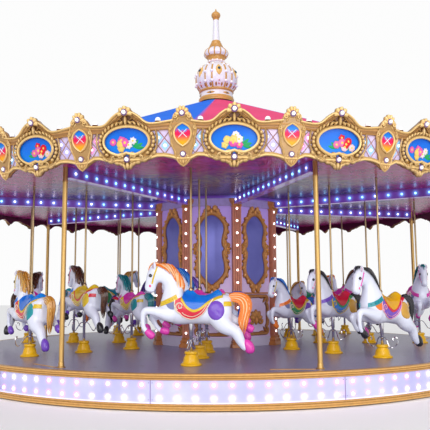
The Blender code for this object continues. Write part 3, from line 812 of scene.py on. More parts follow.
def band_sheet(count):
    """Pale lavender sheet, lit from within, with a coloured halo round each lamp."""
    finish = Finish("band_sheet", Roughness=0.3, Coat_Weight=0.4)
    spot = finish.node("ShaderNodeSeparateXYZ", {0: finish.attribute("place", "Vector")}).outputs
    pitch = 2.0 * math.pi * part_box("skirt_light_band")[1].x / count
    across = finish.calc("MULTIPLY", finish.calc("SUBTRACT", finish.calc("FRACT", spot[0]), 0.5), pitch)
    glow = None
    for height in LAMP_ROWS:
        halo = finish.halo(across, finish.calc("SUBTRACT", spot[1], height), -900.0)
        glow = halo if glow is None else finish.calc("ADD", glow, halo)
    foot = finish.calc("MULTIPLY", finish.calc("SUBTRACT", spot[1], BAND_LOW + 0.01), -160.0)
    foot = finish.calc("MINIMUM", finish.calc("EXPONENT", foot), 1.0)
    cloud = finish.ramp(finish.noise(2.2, 3.0), [(0.3, (0.44, 0.43, 0.76)), (0.7, (0.58, 0.58, 0.86))])
    colour = finish.mix(finish.calc("MINIMUM", glow, 1.0), cloud, finish.attribute("tint"))
    finish.feed("Base Color", colour)
    light = finish.mix(foot, colour, (1.0, 0.97, 1.0))
    finish.feed("Emission Color", light)
    strength = finish.calc("MULTIPLY_ADD", glow, 0.42, 0.06)
    finish.feed("Emission Strength", finish.calc("MULTIPLY_ADD", foot, 0.45, strength))
    return finish.material


# canopy structure


def make_posts():
    """Smooth gold posts with a collared foot and a ring below the ceiling."""
    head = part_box("canopy_post_1")[1].z - DECK
    profile = [(0.012, 0.0006), (0.052, 0.0006), (0.053, 0.003), (0.052, 0.008), (0.046, 0.011),
        (0.036, 0.014), (0.034, 0.05), (0.0335, 0.06), (0.03, 0.064), (0.03, head - 0.2),
        (0.0325, head - 0.19), (0.0325, head - 0.17), (0.03, head - 0.16), (0.03, head), (0.012, head)]
    post = lathe(profile, 24)
    bolt = ball(0.006, 4, 6, squash=0.6)
    bolts = copies(bolt, [turn(45.0 + 90.0 * n) @ shift(0.044, 0.0, 0.01) for n in range(4)])
    post_circle = 4.0
    places = [at(angle, post_circle, DECK) for angle in BAY_ANGLES]
    names = [f"canopy_post_{number}" for number in range(1, BAYS + 1)]
    piece("canopy_posts", copies(join(post, bolts), places), POST_GOLD, hides=names)


def make_beams():
    """Purple box beams with a lamp row on both sides, and the collar round the core's head."""
    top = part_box("canopy_beams")[1].z
    start, reach, half = 1.134, 3.969, 0.055
    beam = block((-half, -reach, top - 0.13), (half, -start, top), (0.16, 0.035, 0.34))
    lips = [block((side - 0.006, -reach, top - 0.132), (side + 0.006, -start, top - 0.122),
        (0.3, 0.09, 0.42)) for side in (-half, half)]
    collar = tube([polar(radius, np.array(BAY_ANGLES), height) for radius, height in ((1.15, top - 0.04),
        (1.225, top - 0.04), (1.225, top), (1.15, top))], (0.16, 0.035, 0.34), 0, True)
    radii = np.linspace(1.206, 3.873, 14)
    lamp_height = top - 0.067
    piece("canopy_beam_boxes", join(ringed(join(beam, *lips), BAY_ANGLES), collar),
        beam_paint_with_painted_glow(radii, lamp_height), hides=["canopy_beams"])
    shuffle = np.random.default_rng(5)
    lens = lamp_dome(0.0165)
    spots, shades = [], []
    choice = np.array([(0.1, 0.5, 1.0), (0.16, 0.62, 1.0), (0.9, 0.75, 1.0), (0.35, 0.25, 1.0)])
    for angle in BAY_ANGLES:
        for side in (-1.0, 1.0):
            for radius in radii:
                spots.append(turn(angle) @ shift(side * half, -radius, lamp_height) @ turn(side * 90.0))
            picks = shuffle.choice(4, len(radii), p=(0.5, 0.26, 0.12, 0.12))
            if angle in (90.0, 180.0, 270.0):
                picks = shuffle.choice(4, len(radii), p=(0.12, 0.14, 0.64, 0.1))
            shades.append(0.85 * choice[picks] + 0.15)
    piece("beam_lamps", copies(lens, spots, np.concatenate(shades)), LAMP)


def beam_paint_with_painted_glow(radii, height):
    """Purple gloss paint with painted light: a blue glow round each lamp of the row and a faint violet glow
    over the whole beam, both given as emission.
    """
    finish = Finish("beam_paint_with_painted_glow", Roughness=0.18, Coat_Weight=0.3)
    pitch = radii[1] - radii[0]
    phase = finish.calc("MULTIPLY_ADD", finish.reach(), 1.0 / pitch, 0.5 - radii[0] / pitch)
    along = finish.calc("MULTIPLY", finish.calc("SUBTRACT", finish.calc("FRACT", phase), 0.5), pitch)
    glow = finish.halo(along, finish.calc("SUBTRACT", finish.where()[3], height), -420.0)
    cloud = finish.ramp(finish.noise(4.0, 4.0), [(0.3, 0.88), (0.7, 1.0)])
    finish.feed("Base Color", finish.mix(1.0, finish.attribute("tint"), cloud, "MULTIPLY"))
    # painted light: the paint itself glows violet, and blue round each lamp
    finish.feed("Emission Color", finish.mix(glow, (0.1, 0.06, 0.42), (0.1, 0.42, 1.0)))
    finish.feed("Emission Strength", finish.calc("MULTIPLY_ADD", glow, 0.75, 0.12))
    return finish.material


def make_ceiling_finish():
    """Glossy marbled panels: magenta near the rim, then blue, cream and grey swirls."""
    finish = Finish("ceiling_marble", Roughness=0.24, IOR=1.28)
    radius = finish.calc("MULTIPLY", finish.reach(), 0.2)
    swirl = finish.noise(1.1, 6.0, 0.62, distortion=1.6)
    fine = finish.noise(3.2, 5.0, 0.6, distortion=2.2)
    marble = finish.ramp(swirl, [(0.26, (0.02, 0.016, 0.07)), (0.38, (0.03, 0.06, 0.26)),
        (0.46, (0.12, 0.12, 0.2)), (0.53, (0.3, 0.25, 0.2)), (0.6, (0.12, 0.075, 0.2)),
        (0.72, (0.2, 0.02, 0.16))])
    marble = finish.mix(finish.ramp(fine, [(0.42, 0.0), (0.62, 0.75)]), marble, (0.06, 0.04, 0.17))
    rim_swirl = finish.ramp(fine, [(0.3, (0.1, 0.008, 0.11)), (0.5, (0.34, 0.012, 0.14)),
        (0.7, (0.42, 0.04, 0.3))])
    at_rim = finish.ramp(finish.calc("MULTIPLY_ADD", swirl, 0.3, radius), [(0.7, 0.0), (0.86, 1.0)])
    middle = finish.ramp(radius, [(0.26, 1.0), (0.48, 0.0)])
    tone = finish.mix(at_rim, marble, rim_swirl)
    finish.feed("Base Color", finish.mix(middle, tone, (0.07, 0.028, 0.17)))
    return finish.material


# centre core


FACE_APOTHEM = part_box("core_drum")[1].x * math.cos(math.pi / BAYS)


def on_core(skin):
    """Turn a flat drawing (sideways, up from the deck, outward) onto the front face at angle 0."""
    u, v, w = skin.points.T
    return skin.mapped(stacked(u, -(FACE_APOTHEM + w), DECK + v))


def shaded(skin, low, high, dark=GOLD_DEEP, light=GOLD_LIGHT):
    """Relief coloured by how far it stands out: painted shade in the recesses, painted highlight on the
    ridges.
    """
    share = np.clip((skin.points[:, 2] - low) / (high - low), 0.0, 1.0)
    return skin.tinted(blend_tint(dark, light, share ** 1.35))


def leaf(place, length, width, angle, depth=0.02, plump=False):
    """Lobe lying on the face, highest along its spine; a plump one is round, the other pointed."""
    along = np.linspace(0.04, 0.96, 5)
    half = width / 2.0 * np.sin(np.pi * along) ** (0.5 if plump else 0.85)
    across = np.array([-1.0, -0.6, 0.0, 0.6, 1.0])
    ridge = np.array([-0.2, 0.75, 1.0, 0.75, -0.2]) if plump else np.array([-0.2, 0.42, 1.0, 0.42, -0.2])
    u = (along * length - length / 2.0)[:, None]
    v = half[:, None] * across
    w = depth * ridge * (np.sin(np.pi * along) ** 0.5)[:, None]
    turned = math.radians(angle)
    x = place[0] + u * math.cos(turned) - v * math.sin(turned)
    y = place[1] + u * math.sin(turned) + v * math.cos(turned)
    return tube(stacked(x, y, w))


def spiral(centre, radius, turns, start, direction=1.0, shrink=0.25, points=22):
    """Flat spiral line that winds inwards, its radius falling evenly with the angle."""
    t = np.linspace(0.0, 1.0, points)
    angle = math.radians(start) + direction * 2.0 * np.pi * turns * t
    reach = radius * (1.0 - (1.0 - shrink) * t)
    return stacked(centre[0] + reach * np.cos(angle), centre[1] + reach * np.sin(angle), 0.0 * t)


def leaves(rows, depth, plump=False):
    """Leaves from rows of (sideways, up, length, width) in millimetres and an angle in degrees."""
    return [leaf((u / 1000.0, v / 1000.0), length / 1000.0, width / 1000.0, angle, depth, plump) for u, v,
        length, width, angle in rows]


def both(skin):
    """A drawing and its mirror image in sideways."""
    return skin.with_mirrored((-1.0, 1.0, 1.0))


def lift(path, height):
    """Set the outward coordinate of a flat path."""
    path = np.array([(*point[:2], 0.0) for point in path], float)
    path[:, 2] = height
    return path


def scallop(centre, wide, tall, lobes, depth, spread=100.0):
    """Shell whose ribs fan out from a centre and end in a scalloped rim."""
    t = np.linspace(-spread, spread, 4 * lobes + 1)
    wave = np.abs(np.cos(np.pi * lobes * (t / spread + 1.0) / 2.0 + np.pi / 2.0))
    t = np.radians(t)[:, None]
    reach = np.array([0.12, 0.45, 0.78, 0.94, 1.0]) * (0.86 + 0.14 * wave[:, None])
    height = depth * np.array([0.9, 0.95, 1.0, 0.85, -0.1]) * (0.62 + 0.38 * wave[:, None])
    face = stacked(centre[0] + wide * reach * np.sin(t), centre[1] + tall * reach * np.cos(t), height)
    return shell(face, face * (1.0, 1.0, 0.0) - (0.0, 0.0, 0.1 * depth))


def fan(centre, angles, reach, length, width, depth):
    """Plump lobes that spread from a centre at the given angles."""
    lobes = []
    for angle in angles:
        t = math.radians(angle)
        lobes.append(leaf((centre[0] + reach * math.cos(t), centre[1] + reach * math.sin(t)), length, width,
            angle, depth, True))
    return lobes


def curl(centre, radius, start, way, thick, height=0.016, turns=1.15, points=11):
    """Volute: a round bar that winds inwards and thins to half."""
    path = spiral(centre, radius, turns, start, way, points=points)
    return rod(path + (0.0, 0.0, height), np.linspace(thick, thick * 0.5, points), 5, 1.1)


MIRROR_SIDE = mm((0, 2135), (55, 2122), (105, 2085), (155, 2030), (190, 1970), (200, 1905), (192, 1840),
    (172, 1780), (163, 1710), (166, 1645), (184, 1605), (200, 1578), (184, 1550), (168, 1510), (176, 1440),
    (190, 1380), (204, 1310), (205, 1240), (185, 1170), (140, 1110), (85, 1055), (35, 1015), (0, 975))


def mirror_outline(extra=0.0, points=37):
    """Closed wavy outline of a core mirror, moved outwards by an amount."""
    outline = closed(smooth(MIRROR_SIDE, points))
    ahead = unit(np.roll(outline, -1, 0) - np.roll(outline, 1, 0))
    return outline + extra * stacked(-ahead[:, 1], ahead[:, 0])


def core_face_relief():
    """Carved frame round one mirror with scrolls and crowns, and the lower panel's moulding."""
    frame = rod(lift(mirror_outline(0.036, 37), 0.006), 0.039, 6, 0.62, looped=True)
    lip = rod(lift(mirror_outline(0.003, 37), 0.014), 0.0085, 4, looped=True)
    waves = mirror_outline(0.062, 49)[:49]
    angles = np.degrees(np.arctan2(*np.gradient(waves, axis=0).T[::-1]))
    half = [leaf(waves[n], 0.1, 0.056, angles[n] + 34.0, 0.044, True) for n in range(3, 46, 3)]
    half += [curl((0.262, 1.64), 0.034, 250.0, 1.0, 0.019), curl((0.262, 1.516), 0.034, 110.0, -1.0, 0.019)]
    half += leaves(((56, 2248, 130, 104, 82), (100, 2205, 105, 80, -56), (128, 2145, 110, 58, -38),
        (52, 912, 115, 96, 98), (92, 962, 100, 66, 46), (286, 1578, 70, 56, 0)), 0.04, True)
    half += leaves(((205, 262, 150, 75, 135), (205, 752, 150, 75, 225), (120, 226, 150, 52, 10),
        (120, 788, 150, 52, -10), (245, 640, 120, 50, 96), (245, 370, 120, 50, 84)), 0.032)
    low_panel = mm((0, 808), (200, 808), (256, 796), (268, 740), (238, 700), (266, 650), (268, 500),
        (266, 360), (238, 310), (268, 270), (256, 212), (200, 200), (0, 200))
    loop = closed(smooth(low_panel, 29))
    moulding_bar = rod(lift(loop, 0.008), 0.027, 6, 0.7, looped=True)
    inner = rod(lift(loop * (0.86, 0.93) + (0.0, 0.035), 0.006), 0.008, 5, looped=True)
    shell_fan = fan((0.0, 0.45), (8, 49, 90, 131, 172), 0.075, 0.15, 0.105, 0.042)
    shell_foot = [leaf((0.0, 0.415), 0.15, 0.08, 90.0, 0.048, True),
        leaf((0.0, 0.435), 0.24, 0.15, 0.0, 0.03, True)]
    half += [curl((0.09, 0.4), 0.046, 40.0, -1.0, 0.021)]
    parts = join(frame, lip, both(join(*half)), leaf((0.0, 2.19), 0.11, 0.06, 90.0, 0.046, True),
        leaf((0.0, 0.955), 0.11, 0.06, 90.0, 0.042, True), moulding_bar, inner, *shell_fan, *shell_foot)
    return shaded(parts, 0.004, 0.042, COPPER_DEEP, COPPER_LIGHT)


def plate(outline, low, high, tint=WHITE, slot=0):
    """Flat plate within a closed outline (sideways, up), between two outward heights."""
    outline = np.asarray(outline, float)
    middle = outline.mean(0)
    rings = [(0.02, high), (1.0, high), (1.0, low), (0.02, low)]
    sheets = [stacked(*(middle + part * (outline - middle)).T, w) for part, w in rings]
    return tube(sheets, tint, slot)


def make_core():
    """Octagonal drum with lilac panels and mirrors, carved relief, and fluted pilasters with lamps."""
    low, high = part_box("core_drum")
    corner = high.x
    heights = [low.z, DECK + 0.15, DECK + 0.152, DECK + 0.9, DECK + 1.5, high.z]
    rings = [polar(corner - 0.001, np.array(BAY_ANGLES), height) for height in heights]
    tints = [(0.84, 0.74, 0.94)] * 2 + [(0.84, 0.64, 0.92)] * 2 + [(0.7, 0.5, 0.94), (0.58, 0.38, 0.94)]
    drum = tube(rings, np.repeat(np.array(tints)[:, None], BAYS, axis=1))
    mirror = on_core(plate(mirror_outline(0.004), -0.001, 0.004))
    field = mm((-235, 235), (235, 235), (235, 775), (-235, 775))
    lower = on_core(plate(field, -0.001, 0.003, (0.84, 0.68, 0.92)))
    rail = on_core(block((-0.4, 0.846, 0.0), (0.4, 0.872, 0.014), COPPER, 0, 0.004))
    skirting = on_core(block((-0.4, 0.012, 0.0), (0.4, 0.15, 0.01), (0.7, 0.64, 0.8), 0, 0.004))
    piece("core_panels", join(drum, ringed(join(lower, skirting), ROW_ANGLES)), CORE_PAINT,
        hides=["core_drum"], crease=25.0)
    piece("core_mirrors", ringed(mirror, ROW_ANGLES), MIRROR)
    relief = ringed(join(on_core(core_face_relief()), rail), ROW_ANGLES)
    piece("core_carving", relief, RELIEF_COPPER)
    make_pilasters()


def make_pilasters():
    """Eight fluted pilasters with stepped plinths, leafy capitals and eleven lamps each."""
    face, half, head = 1.094, 0.072, 2.4294
    across = np.linspace(-half, half, 31)
    flute = 0.007 * np.abs(np.sin(np.pi * (across + half) / 0.036))
    flute[np.abs(across) > half - 0.006] = 0.007
    outline = np.concatenate([stacked(across, -(face - 0.007 + flute)), [(half, -0.965), (-half, -0.965)]])
    rings = [stacked(*outline.T, DECK + height) for height in (0.145, 2.29)]
    # painted shade in the flutes and painted highlight on the ridges between them
    depth = np.concatenate([flute / 0.007, [0.0, 0.0]])
    shaft = tube(rings, np.tile(blend_tint((0.32, 0.09, 0.048), (0.66, 0.22, 0.12), depth), (2, 1, 1)))

    def stepped(rows, inner):
        """Rows of (half width, face, height) stacked to a moulded block."""
        rings = []
        for half_width, out, height in rows:
            rings.append([(-half_width, -out, DECK + height), (half_width, -out, DECK + height),
                (half_width, -inner, DECK + height), (-half_width, -inner, DECK + height)])
        return tube(rings, COPPER)
    plinth = stepped(mm((110, 1132, 1), (110, 1132, 46), (98, 1122, 58), (90, 1114, 70), (96, 1119, 80),
        (96, 1119, 100), (84, 1107, 114), (76, 1100, 130), (82, 1104, 138), (82, 1104, 146),
        (73, 1096, 152)), 0.965)
    capital = stepped([(0.073, 1.096, 2.258), (0.083, 1.104, 2.264), (0.083, 1.104, 2.276),
        (0.075, 1.098, 2.284), (0.084, 1.106, 2.306), (0.096, 1.117, 2.33), (0.096, 1.117, 2.34),
        (0.108, 1.127, 2.352), (0.108, 1.127, head)], 0.965)
    leafage = leaves([(36 * n, 2312, 60, 30, 90) for n in range(-2, 3)], 0.02)
    leafage = shaded(join(*leafage), 0.0, 0.016, COPPER_DEEP, COPPER_LIGHT)
    u, v, w = leafage.points.T
    leafage = leafage.mapped(stacked(u, -(1.104 + 0.4 * (v - 2.3) + w), DECK + v))
    low, high = (-0.4, -0.9925, DECK + (head - 0.15)), (0.4, -0.971, DECK + head)
    band = block(low, high, (0.4, 0.3, 0.6), 0, 0.003)
    frame = join(ringed(join(shaft, plinth, capital, leafage), BAY_ANGLES), ringed(band, ROW_ANGLES))
    piece("core_pilasters", frame, RELIEF_COPPER, hides=["core_frame"])
    lens = lamp_dome(0.0185)
    heights = 2.23 - 0.2 * np.arange(11)
    lit = [at(angle, face, DECK + height) for angle in BAY_ANGLES for height in heights]
    piece("core_lamps", copies(lens, lit, np.tile((1.0, 0.96, 0.98), (len(lit), 1))), LAMP)


# cornice


CRESTS = 24
PITCH = 360.0 / CRESTS
CREST_TURN = 0.38
SHIELD_TURN = 0.85
ARC = 4.55
HALF_PITCH = math.radians(PITCH) * ARC / 2.0
TOP_EDGE = [(0.0, 2.897), (0.045, 2.892), (0.07, 2.872), (0.087, 2.838), (0.116, 2.823), (0.161, 2.792),
    (0.198, 2.757), (0.235, 2.729), (0.279, 2.714), (0.346, 2.714), (0.413, 2.722), (0.452, 2.726),
    (0.478, 2.742), (0.49, 2.785), (0.502, 2.812), (0.52, 2.804), (0.56, 2.836), (HALF_PITCH, 2.852)]
LOW_EDGE = [(0.0, 2.238), (0.03, 2.252), (0.07, 2.288), (0.15, 2.306), (0.23, 2.318), (0.3, 2.345),
    (0.36, 2.356), (0.42, 2.352), (0.47, 2.334), (0.52, 2.31), (0.56, 2.276), (HALF_PITCH, 2.264)]


def board_radius(height):
    """Outer face of the leaning board at a height above the deck."""
    return 4.505 + 0.19 * (height - 2.33)


def on_cornice(skin):
    """Bend a flat drawing (sideways, up from the deck, outward) onto the board's front."""
    u, v, w = skin.points.T
    return skin.mapped(polar(board_radius(v) + w, np.degrees(u / ARC), DECK + v))


def off_crest(degrees):
    """Degrees between angles and the middle of the nearest crest."""
    return np.abs((degrees - CREST_TURN + PITCH / 2.0) % PITCH - PITCH / 2.0)


def edge_around(edge, degrees):
    """Height of the board's edge at angles: a crest's outline, and a shield's where one is nearer."""
    crest = np.radians(off_crest(degrees)) * ARC
    shield = np.radians(np.abs((degrees - SHIELD_TURN) % PITCH - PITCH / 2.0)) * ARC
    joint = 0.452
    place = np.where(shield < HALF_PITCH - joint, HALF_PITCH - shield, np.minimum(crest, joint))
    table = np.array(edge)
    return np.interp(place, table[:, 0], table[:, 1])


def make_cornice_board():
    """Leaning board whose top and bottom follow the crests, painted gold, lilac and maroon, with painted
    shade in deep gold under the cap of each crest.
    """
    angles = np.arange(CRESTS * 24) * PITCH / 24
    top = edge_around(TOP_EDGE, angles) - 0.004
    low = edge_around(LOW_EDGE, angles) + 0.004
    share = np.array([0.0, 0.12, 0.27, 0.45, 0.6, 0.72, 0.86, 1.0])
    heights = low[:, None] + share * (top - low)[:, None]
    front = polar(board_radius(heights) - 0.012, angles[:, None], DECK + heights)
    back = polar(board_radius(heights) - 0.049, angles[:, None], DECK + heights)
    u = np.broadcast_to(np.radians(off_crest(angles))[:, None] * ARC, heights.shape)
    open_field = (u > 0.3) & (heights > 2.37) & (heights < 2.66)
    # painted shade: deep gold in the recess under each crest's cap
    dark = (u < 0.3) & (heights > 2.66) & (heights < top[:, None] - 0.03)
    face = np.where(open_field[..., None], (0.7, 0.58, 0.86), GOLD)
    face = np.where(dark[..., None], GOLD_DEEP, face)
    rear = np.broadcast_to((0.1, 0.008, 0.045), face.shape)
    rings = np.concatenate([front, back[:, ::-1]], 1)
    board = tube(rings, np.concatenate([face, rear[:, ::-1]], 1), 0, True)
    piece("cornice_shell", board, RELIEF_PAINT, hides=["cornice_board"], crease=50.0)


def rail(profile, base, light=GOLD_LIGHT):
    """Moulding round the whole board: profile of (outward, up) carried at the heights of base(angles)."""
    angles = np.arange(CRESTS * 16) * PITCH / 16
    profile = np.asarray(profile, float)
    heights = base(angles)[:, None] + profile[:, 1]
    points = polar(board_radius(heights) + profile[:, 0], angles[:, None], DECK + heights)
    # painted shade in the moulding's hollows, painted highlight on its most outward parts
    tint = blend_tint(GOLD_DEEP, light, (profile[:, 0] + 0.004) / (profile[:, 0].max() + 0.004))
    return tube(points, np.broadcast_to(tint, (len(angles), len(profile), 3)), 0, True)


def rail_heights(degrees):
    """The upper rail runs level over the lattice and up behind the cap of each crest."""
    sideways = np.radians(off_crest(degrees)) * ARC
    share = np.clip((0.37 - sideways) / 0.07, 0.0, 1.0)
    return 2.64 * (1.0 - share) + share * (edge_around(TOP_EDGE, degrees) - 0.084)


def moulding(path, section):
    """Strip carried along a flat path: section rows of (distance to the left, outward)."""
    ahead = directions(path)
    left = stacked(-ahead[:, 1], ahead[:, 0])
    section = np.asarray(section, float)
    flat = path[:, None] + section[None, :, 0:1] * left[:, None]
    out = np.broadcast_to(section[:, 1], flat.shape[:2])
    return tube(np.concatenate([flat, out[..., None]], -1))


CAP_SECTION = mm((-3, -8), (-5, 14), (4, 34), (14, 36), (23, 22), (28, 6), (28, -8))


def large_frame():
    """Oval frame with ropes of lobes, swept cap, crown and bottom scrolls of a large crest."""
    turnabout = circle(40)
    cusp = 0.034 * np.exp(-(np.sin(turnabout - 1.5 * np.pi) / 0.2) ** 2) * (np.sin(turnabout) < 0)
    oval = stacked(0.265 * np.cos(turnabout), 2.53 + 0.158 * np.sin(turnabout) + cusp)
    parts = [rod(lift(oval, 0.022), 0.016, 5, 1.1, looped=True)]
    outside = stacked(0.284 * np.cos(turnabout), 2.53 + 0.177 * np.sin(turnabout))
    parts.append(rod(lift(outside[1:20], 0.01), 0.01, 4))
    half = []
    for angle in (81.0, 71.0, 61.0, 51.0, 41.0, 31.0, 20.0, 8.0, -4.0, -16.0, -28.0, -40.0):
        t = math.radians(angle)
        along = math.degrees(math.atan2(0.202 * math.cos(t), -0.31 * math.sin(t)))
        length, width, lean = (0.068, 0.033, 40.0) if angle > 25.0 else (0.054, 0.046, 14.0)
        half.append(leaf((0.311 * math.cos(t), 2.53 + 0.204 * math.sin(t)), length, width, along - lean,
            0.036, True))
    top = np.array(TOP_EDGE)
    for reach, way in ((0.53, 1.0), (0.462, -1.0)):
        path = np.array([reach, 0.413, 0.346, 0.279, 0.235, 0.198, 0.161, 0.116, 0.087, 0.058])
        rise = np.interp(path, top[:, 0], np.minimum(top[:, 1], np.where(top[:, 0] > 0.46, 2.738, 9.0)))
        rise[-1] = 2.826
        cap = moulding(smooth(stacked(path, rise + 0.004), 18), CAP_SECTION)
        mirror_cap = Skin(cap.points * (-1.0, 1.0, 1.0), flipped(cap.corners, cap.counts), cap.counts)
        parts.append(cap if way > 0 else mirror_cap)
    for row, depth in (((64, 2735, 90, 36, 12), 0.034), ((68, 2775, 80, 26, 40), 0.018),
            ((110, 2768, 100, 28, -26), 0.02), ((162, 2742, 85, 26, -38), 0.022),
            ((214, 2702, 70, 26, -30), 0.024)):
        half += leaves([row], depth)
    half += [curl((0.078, 2.372), 0.032, 200.0, -1.0, 0.014, 0.02),
        curl((0.16, 2.35), 0.026, 120.0, -1.0, 0.012)]
    sweep = smooth(mm((30, 2298), (80, 2322), (150, 2316), (215, 2334), (275, 2372), (325, 2430),
        (350, 2500), (352, 2570), (335, 2640)), 15)
    half.append(rod(lift(sweep, 0.012), 0.012 + 0.003 * np.sin(np.linspace(0.0, 24.0, 15)), 4, 1.0))
    half += leaves(((40, 2268, 90, 42, -112), (72, 2288, 85, 42, -146), (120, 2300, 80, 42, -172),
        (205, 2322, 85, 42, 20), (268, 2352, 80, 42, 42), (45, 2398, 75, 42, 28), (315, 2398, 60, 42, 62)),
        0.032, True)
    parts.append(both(join(*half)))
    parts.append(scallop((0.0, 2.822), 0.09, 0.094, 5, 0.042, 108.0))
    parts += [leaf((0.0, 2.752), 0.13, 0.042, 90.0, 0.034, True),
        leaf((0.0, 2.27), 0.095, 0.055, 90.0, 0.036, True)]
    return shaded(join(*parts), -0.004, 0.038)


def small_frame():
    """Shield between the crests: shouldered plate, pointed opening, fan crown and drop."""
    outline = mm((0, 2246), (38, 2272), (62, 2300), (85, 2344), (96, 2390), (107, 2430), (128, 2462),
        (136, 2500), (138, 2550), (150, 2590), (157, 2625), (154, 2652), (138, 2690), (118, 2730),
        (102, 2765), (90, 2795), (78, 2806), (50, 2790), (24, 2776), (0, 2772))
    loop = closed(smooth(outline, 25))
    body = plate(loop, -0.006, 0.01)
    rim = rod(lift(loop * (0.94, 1.0), 0.012), 0.0105, 4, 1.2, looped=True)
    almond = mm((0, 2453), (37, 2480), (63, 2512), (81.5, 2557), (86, 2605), (66, 2655), (32, 2684),
        (0, 2701))
    opening = closed(smooth(almond, 13))
    frame = rod(lift(opening * (1.1, 1.0) + (0.0, 0.001), 0.018), 0.0115, 5, 1.2, looped=True)
    half = [curl((0.072, 2.772), 0.021, 60.0, -1.0, 0.011, 0.022),
        curl((0.136, 2.65), 0.02, 100.0, 1.0, 0.011), curl((0.036, 2.345), 0.018, 200.0, -1.0, 0.01)]
    half += leaves(((122, 2590, 85, 30, 80), (122, 2480, 75, 30, 66), (88, 2400, 80, 30, 66),
        (30, 2296, 70, 30, 58), (52, 2745, 70, 30, 122)), 0.026, True)
    crown = scallop((0.0, 2.788), 0.084, 0.102, 6, 0.042, 100.0)
    drop = leaf((0.0, 2.292), 0.065, 0.034, 90.0, 0.03, True)
    parts = join(body, rim, frame, crown, both(join(*half)), drop)
    return shaded(parts, -0.008, 0.034, (0.26, 0.1, 0.022)), opening


def lattice():
    """Slanting bars over the lilac fields on both sides of a crest, crossing once in each."""
    low, high, near, far = 2.385, 2.65, 0.3, 0.52
    cross_u, cross_v, wide, tall = 0.428, 2.555, 0.069, 0.085
    slope = tall / wide
    bars = []
    for way in (1.0, -1.0):
        for step in (-2.0, 0.0, 2.0):
            u = np.linspace(near, far, 45)
            v = cross_v + step * tall + way * slope * (u - cross_u)
            inside = (v > low) & (v < high)
            if inside.sum() > 3:
                ends = stacked(u, v, -0.008)[inside][[0, -1]]
                bars.append(rod(ends, 0.005, 4, 0.8))
    return both(join(*bars)).tinted((0.42, 0.22, 0.17))


def painted_halo(place):
    """Coloured diamond behind a lamp of the lattice: a painted glow round the lamp."""
    diamond = mm((0, -60), (48, 0), (0, 60), (-48, 0)) + place
    return plate(diamond, -0.0112, -0.0092)


def star(place, radius, petals, colour, heart, height, seed=0.0):
    """Flat flower: a wavy disc whose rim follows 0.72 + 0.28 |cos|, with a bright middle."""
    angle = circle(petals * 2)
    reach = radius * (0.72 + 0.28 * np.abs(np.cos(petals * (angle + seed) / 2.0)))
    rings, tints = [], []
    for part, w, tint in ((0.26, height + 0.003, heart), (0.34, height + 0.002, colour),
            (1.0, height, np.array(colour) * 0.75), (1.0, height - 0.003, colour)):
        ring = stacked(place[0] + part * reach * np.cos(angle), place[1] + part * reach * np.sin(angle), w)
        rings.append(ring)
        tints.append(np.broadcast_to(tint, ring.shape))
    return tube(rings, tints)


def large_picture(kind):
    """Blue oval field with a plain bunch of flowers over green leaves."""
    turnabout = circle(28)
    oval = stacked(0.264 * np.cos(turnabout), 0.157 * np.sin(turnabout))
    rings, tints = [], []
    for part in (0.03, 0.5, 1.0):
        spot = oval * part
        rings.append(stacked(spot[:, 0], 2.53 + spot[:, 1], -0.002))
        rise = (spot[:, 1] / 0.15 + 1.0) / 2.0
        sway = 0.25 * np.sin(9.0 * spot[:, 0] / 0.254 + 3.0 * kind) * (1.0 - rise)
        tints.append(blend_tint((0.004, 0.24, 0.86), (0.001, 0.11, 0.66), rise + sway))
    rings.append(rings[-1] - (0.0, 0.0, 0.01))
    tints.append(tints[-1])
    field = tube(rings, tints)
    palettes = [((0.76, 0.006, 0.03), (0.8, 0.16, 0.4), (0.86, 0.62, 0.7)),
        ((0.84, 0.12, 0.44), (0.88, 0.6, 0.16), (0.86, 0.8, 0.84)),
        ((0.88, 0.66, 0.2), (0.78, 0.1, 0.4), (0.9, 0.84, 0.88))]
    palette = palettes[kind % 3]
    parts = [field]
    for n in range(7):
        t = math.radians(26.0 * n - 78.0 + 12.0 * kind)
        parts.append(leaf_green((0.035 + 0.11 * math.sin(t), 2.46 + 0.055 * math.cos(t)), 0.115,
            90.0 - math.degrees(t)))
    centre = (0.07, -0.03, 0.0)[kind % 3]
    for n in range(7):
        reach, t = 0.02 + 0.018 * n, 2.4 * n + kind
        place = (centre + 1.05 * reach * math.cos(t), 2.51 + 0.56 * reach * math.sin(t))
        parts.append(star(place, 0.054 - 0.0018 * n, 5 + n % 3, palette[n % 3], (0.85, 0.6, 0.1),
            0.0008 * (9 - n) + 0.002, t))
    return join(*parts)


def leaf_green(place, length, angle):
    """Thin painted leaf."""
    return leaf(place, length, 0.038, angle, 0.003).moved(shift(0.0, 0.0, -0.001)).tinted((0.01, 0.34, 0.1))


def small_picture(opening):
    """Pointed field: blue above, a zigzag of red, orange and yellow below, two crossed white bars."""
    middle = np.array((0.0, 2.56))
    rings, tints = [], []
    for part in (0.02, 0.3, 0.55, 0.78, 1.0):
        spot = middle + part * (opening - middle)
        rings.append(stacked(*spot.T, 0.015))
        edge = 2.612 + 0.016 * np.abs(((spot[:, 0] / 0.032) % 2.0) - 1.0)
        rise = spot[:, 1]
        blue = blend_tint((0.008, 0.26, 0.82), (0.002, 0.1, 0.55), (rise - 2.62) / 0.08)
        warm = blend_tint((0.92, 0.42, 0.004), (0.76, 0.006, 0.09), (rise - 2.5) / 0.07)
        tints.append(np.where((rise > edge)[:, None], blue, warm))
    rings.append(rings[-1] - (0.0, 0.0, 0.008))
    tints.append(tints[-1])
    field = tube(rings, tints)
    bars = [rod([(-side * 0.045, 2.636, 0.018), (side * 0.045, 2.55, 0.018)], 0.0042, 4,
        tint=(0.86, 0.84, 0.9)) for side in (1.0, -1.0)]
    return join(field, *bars)


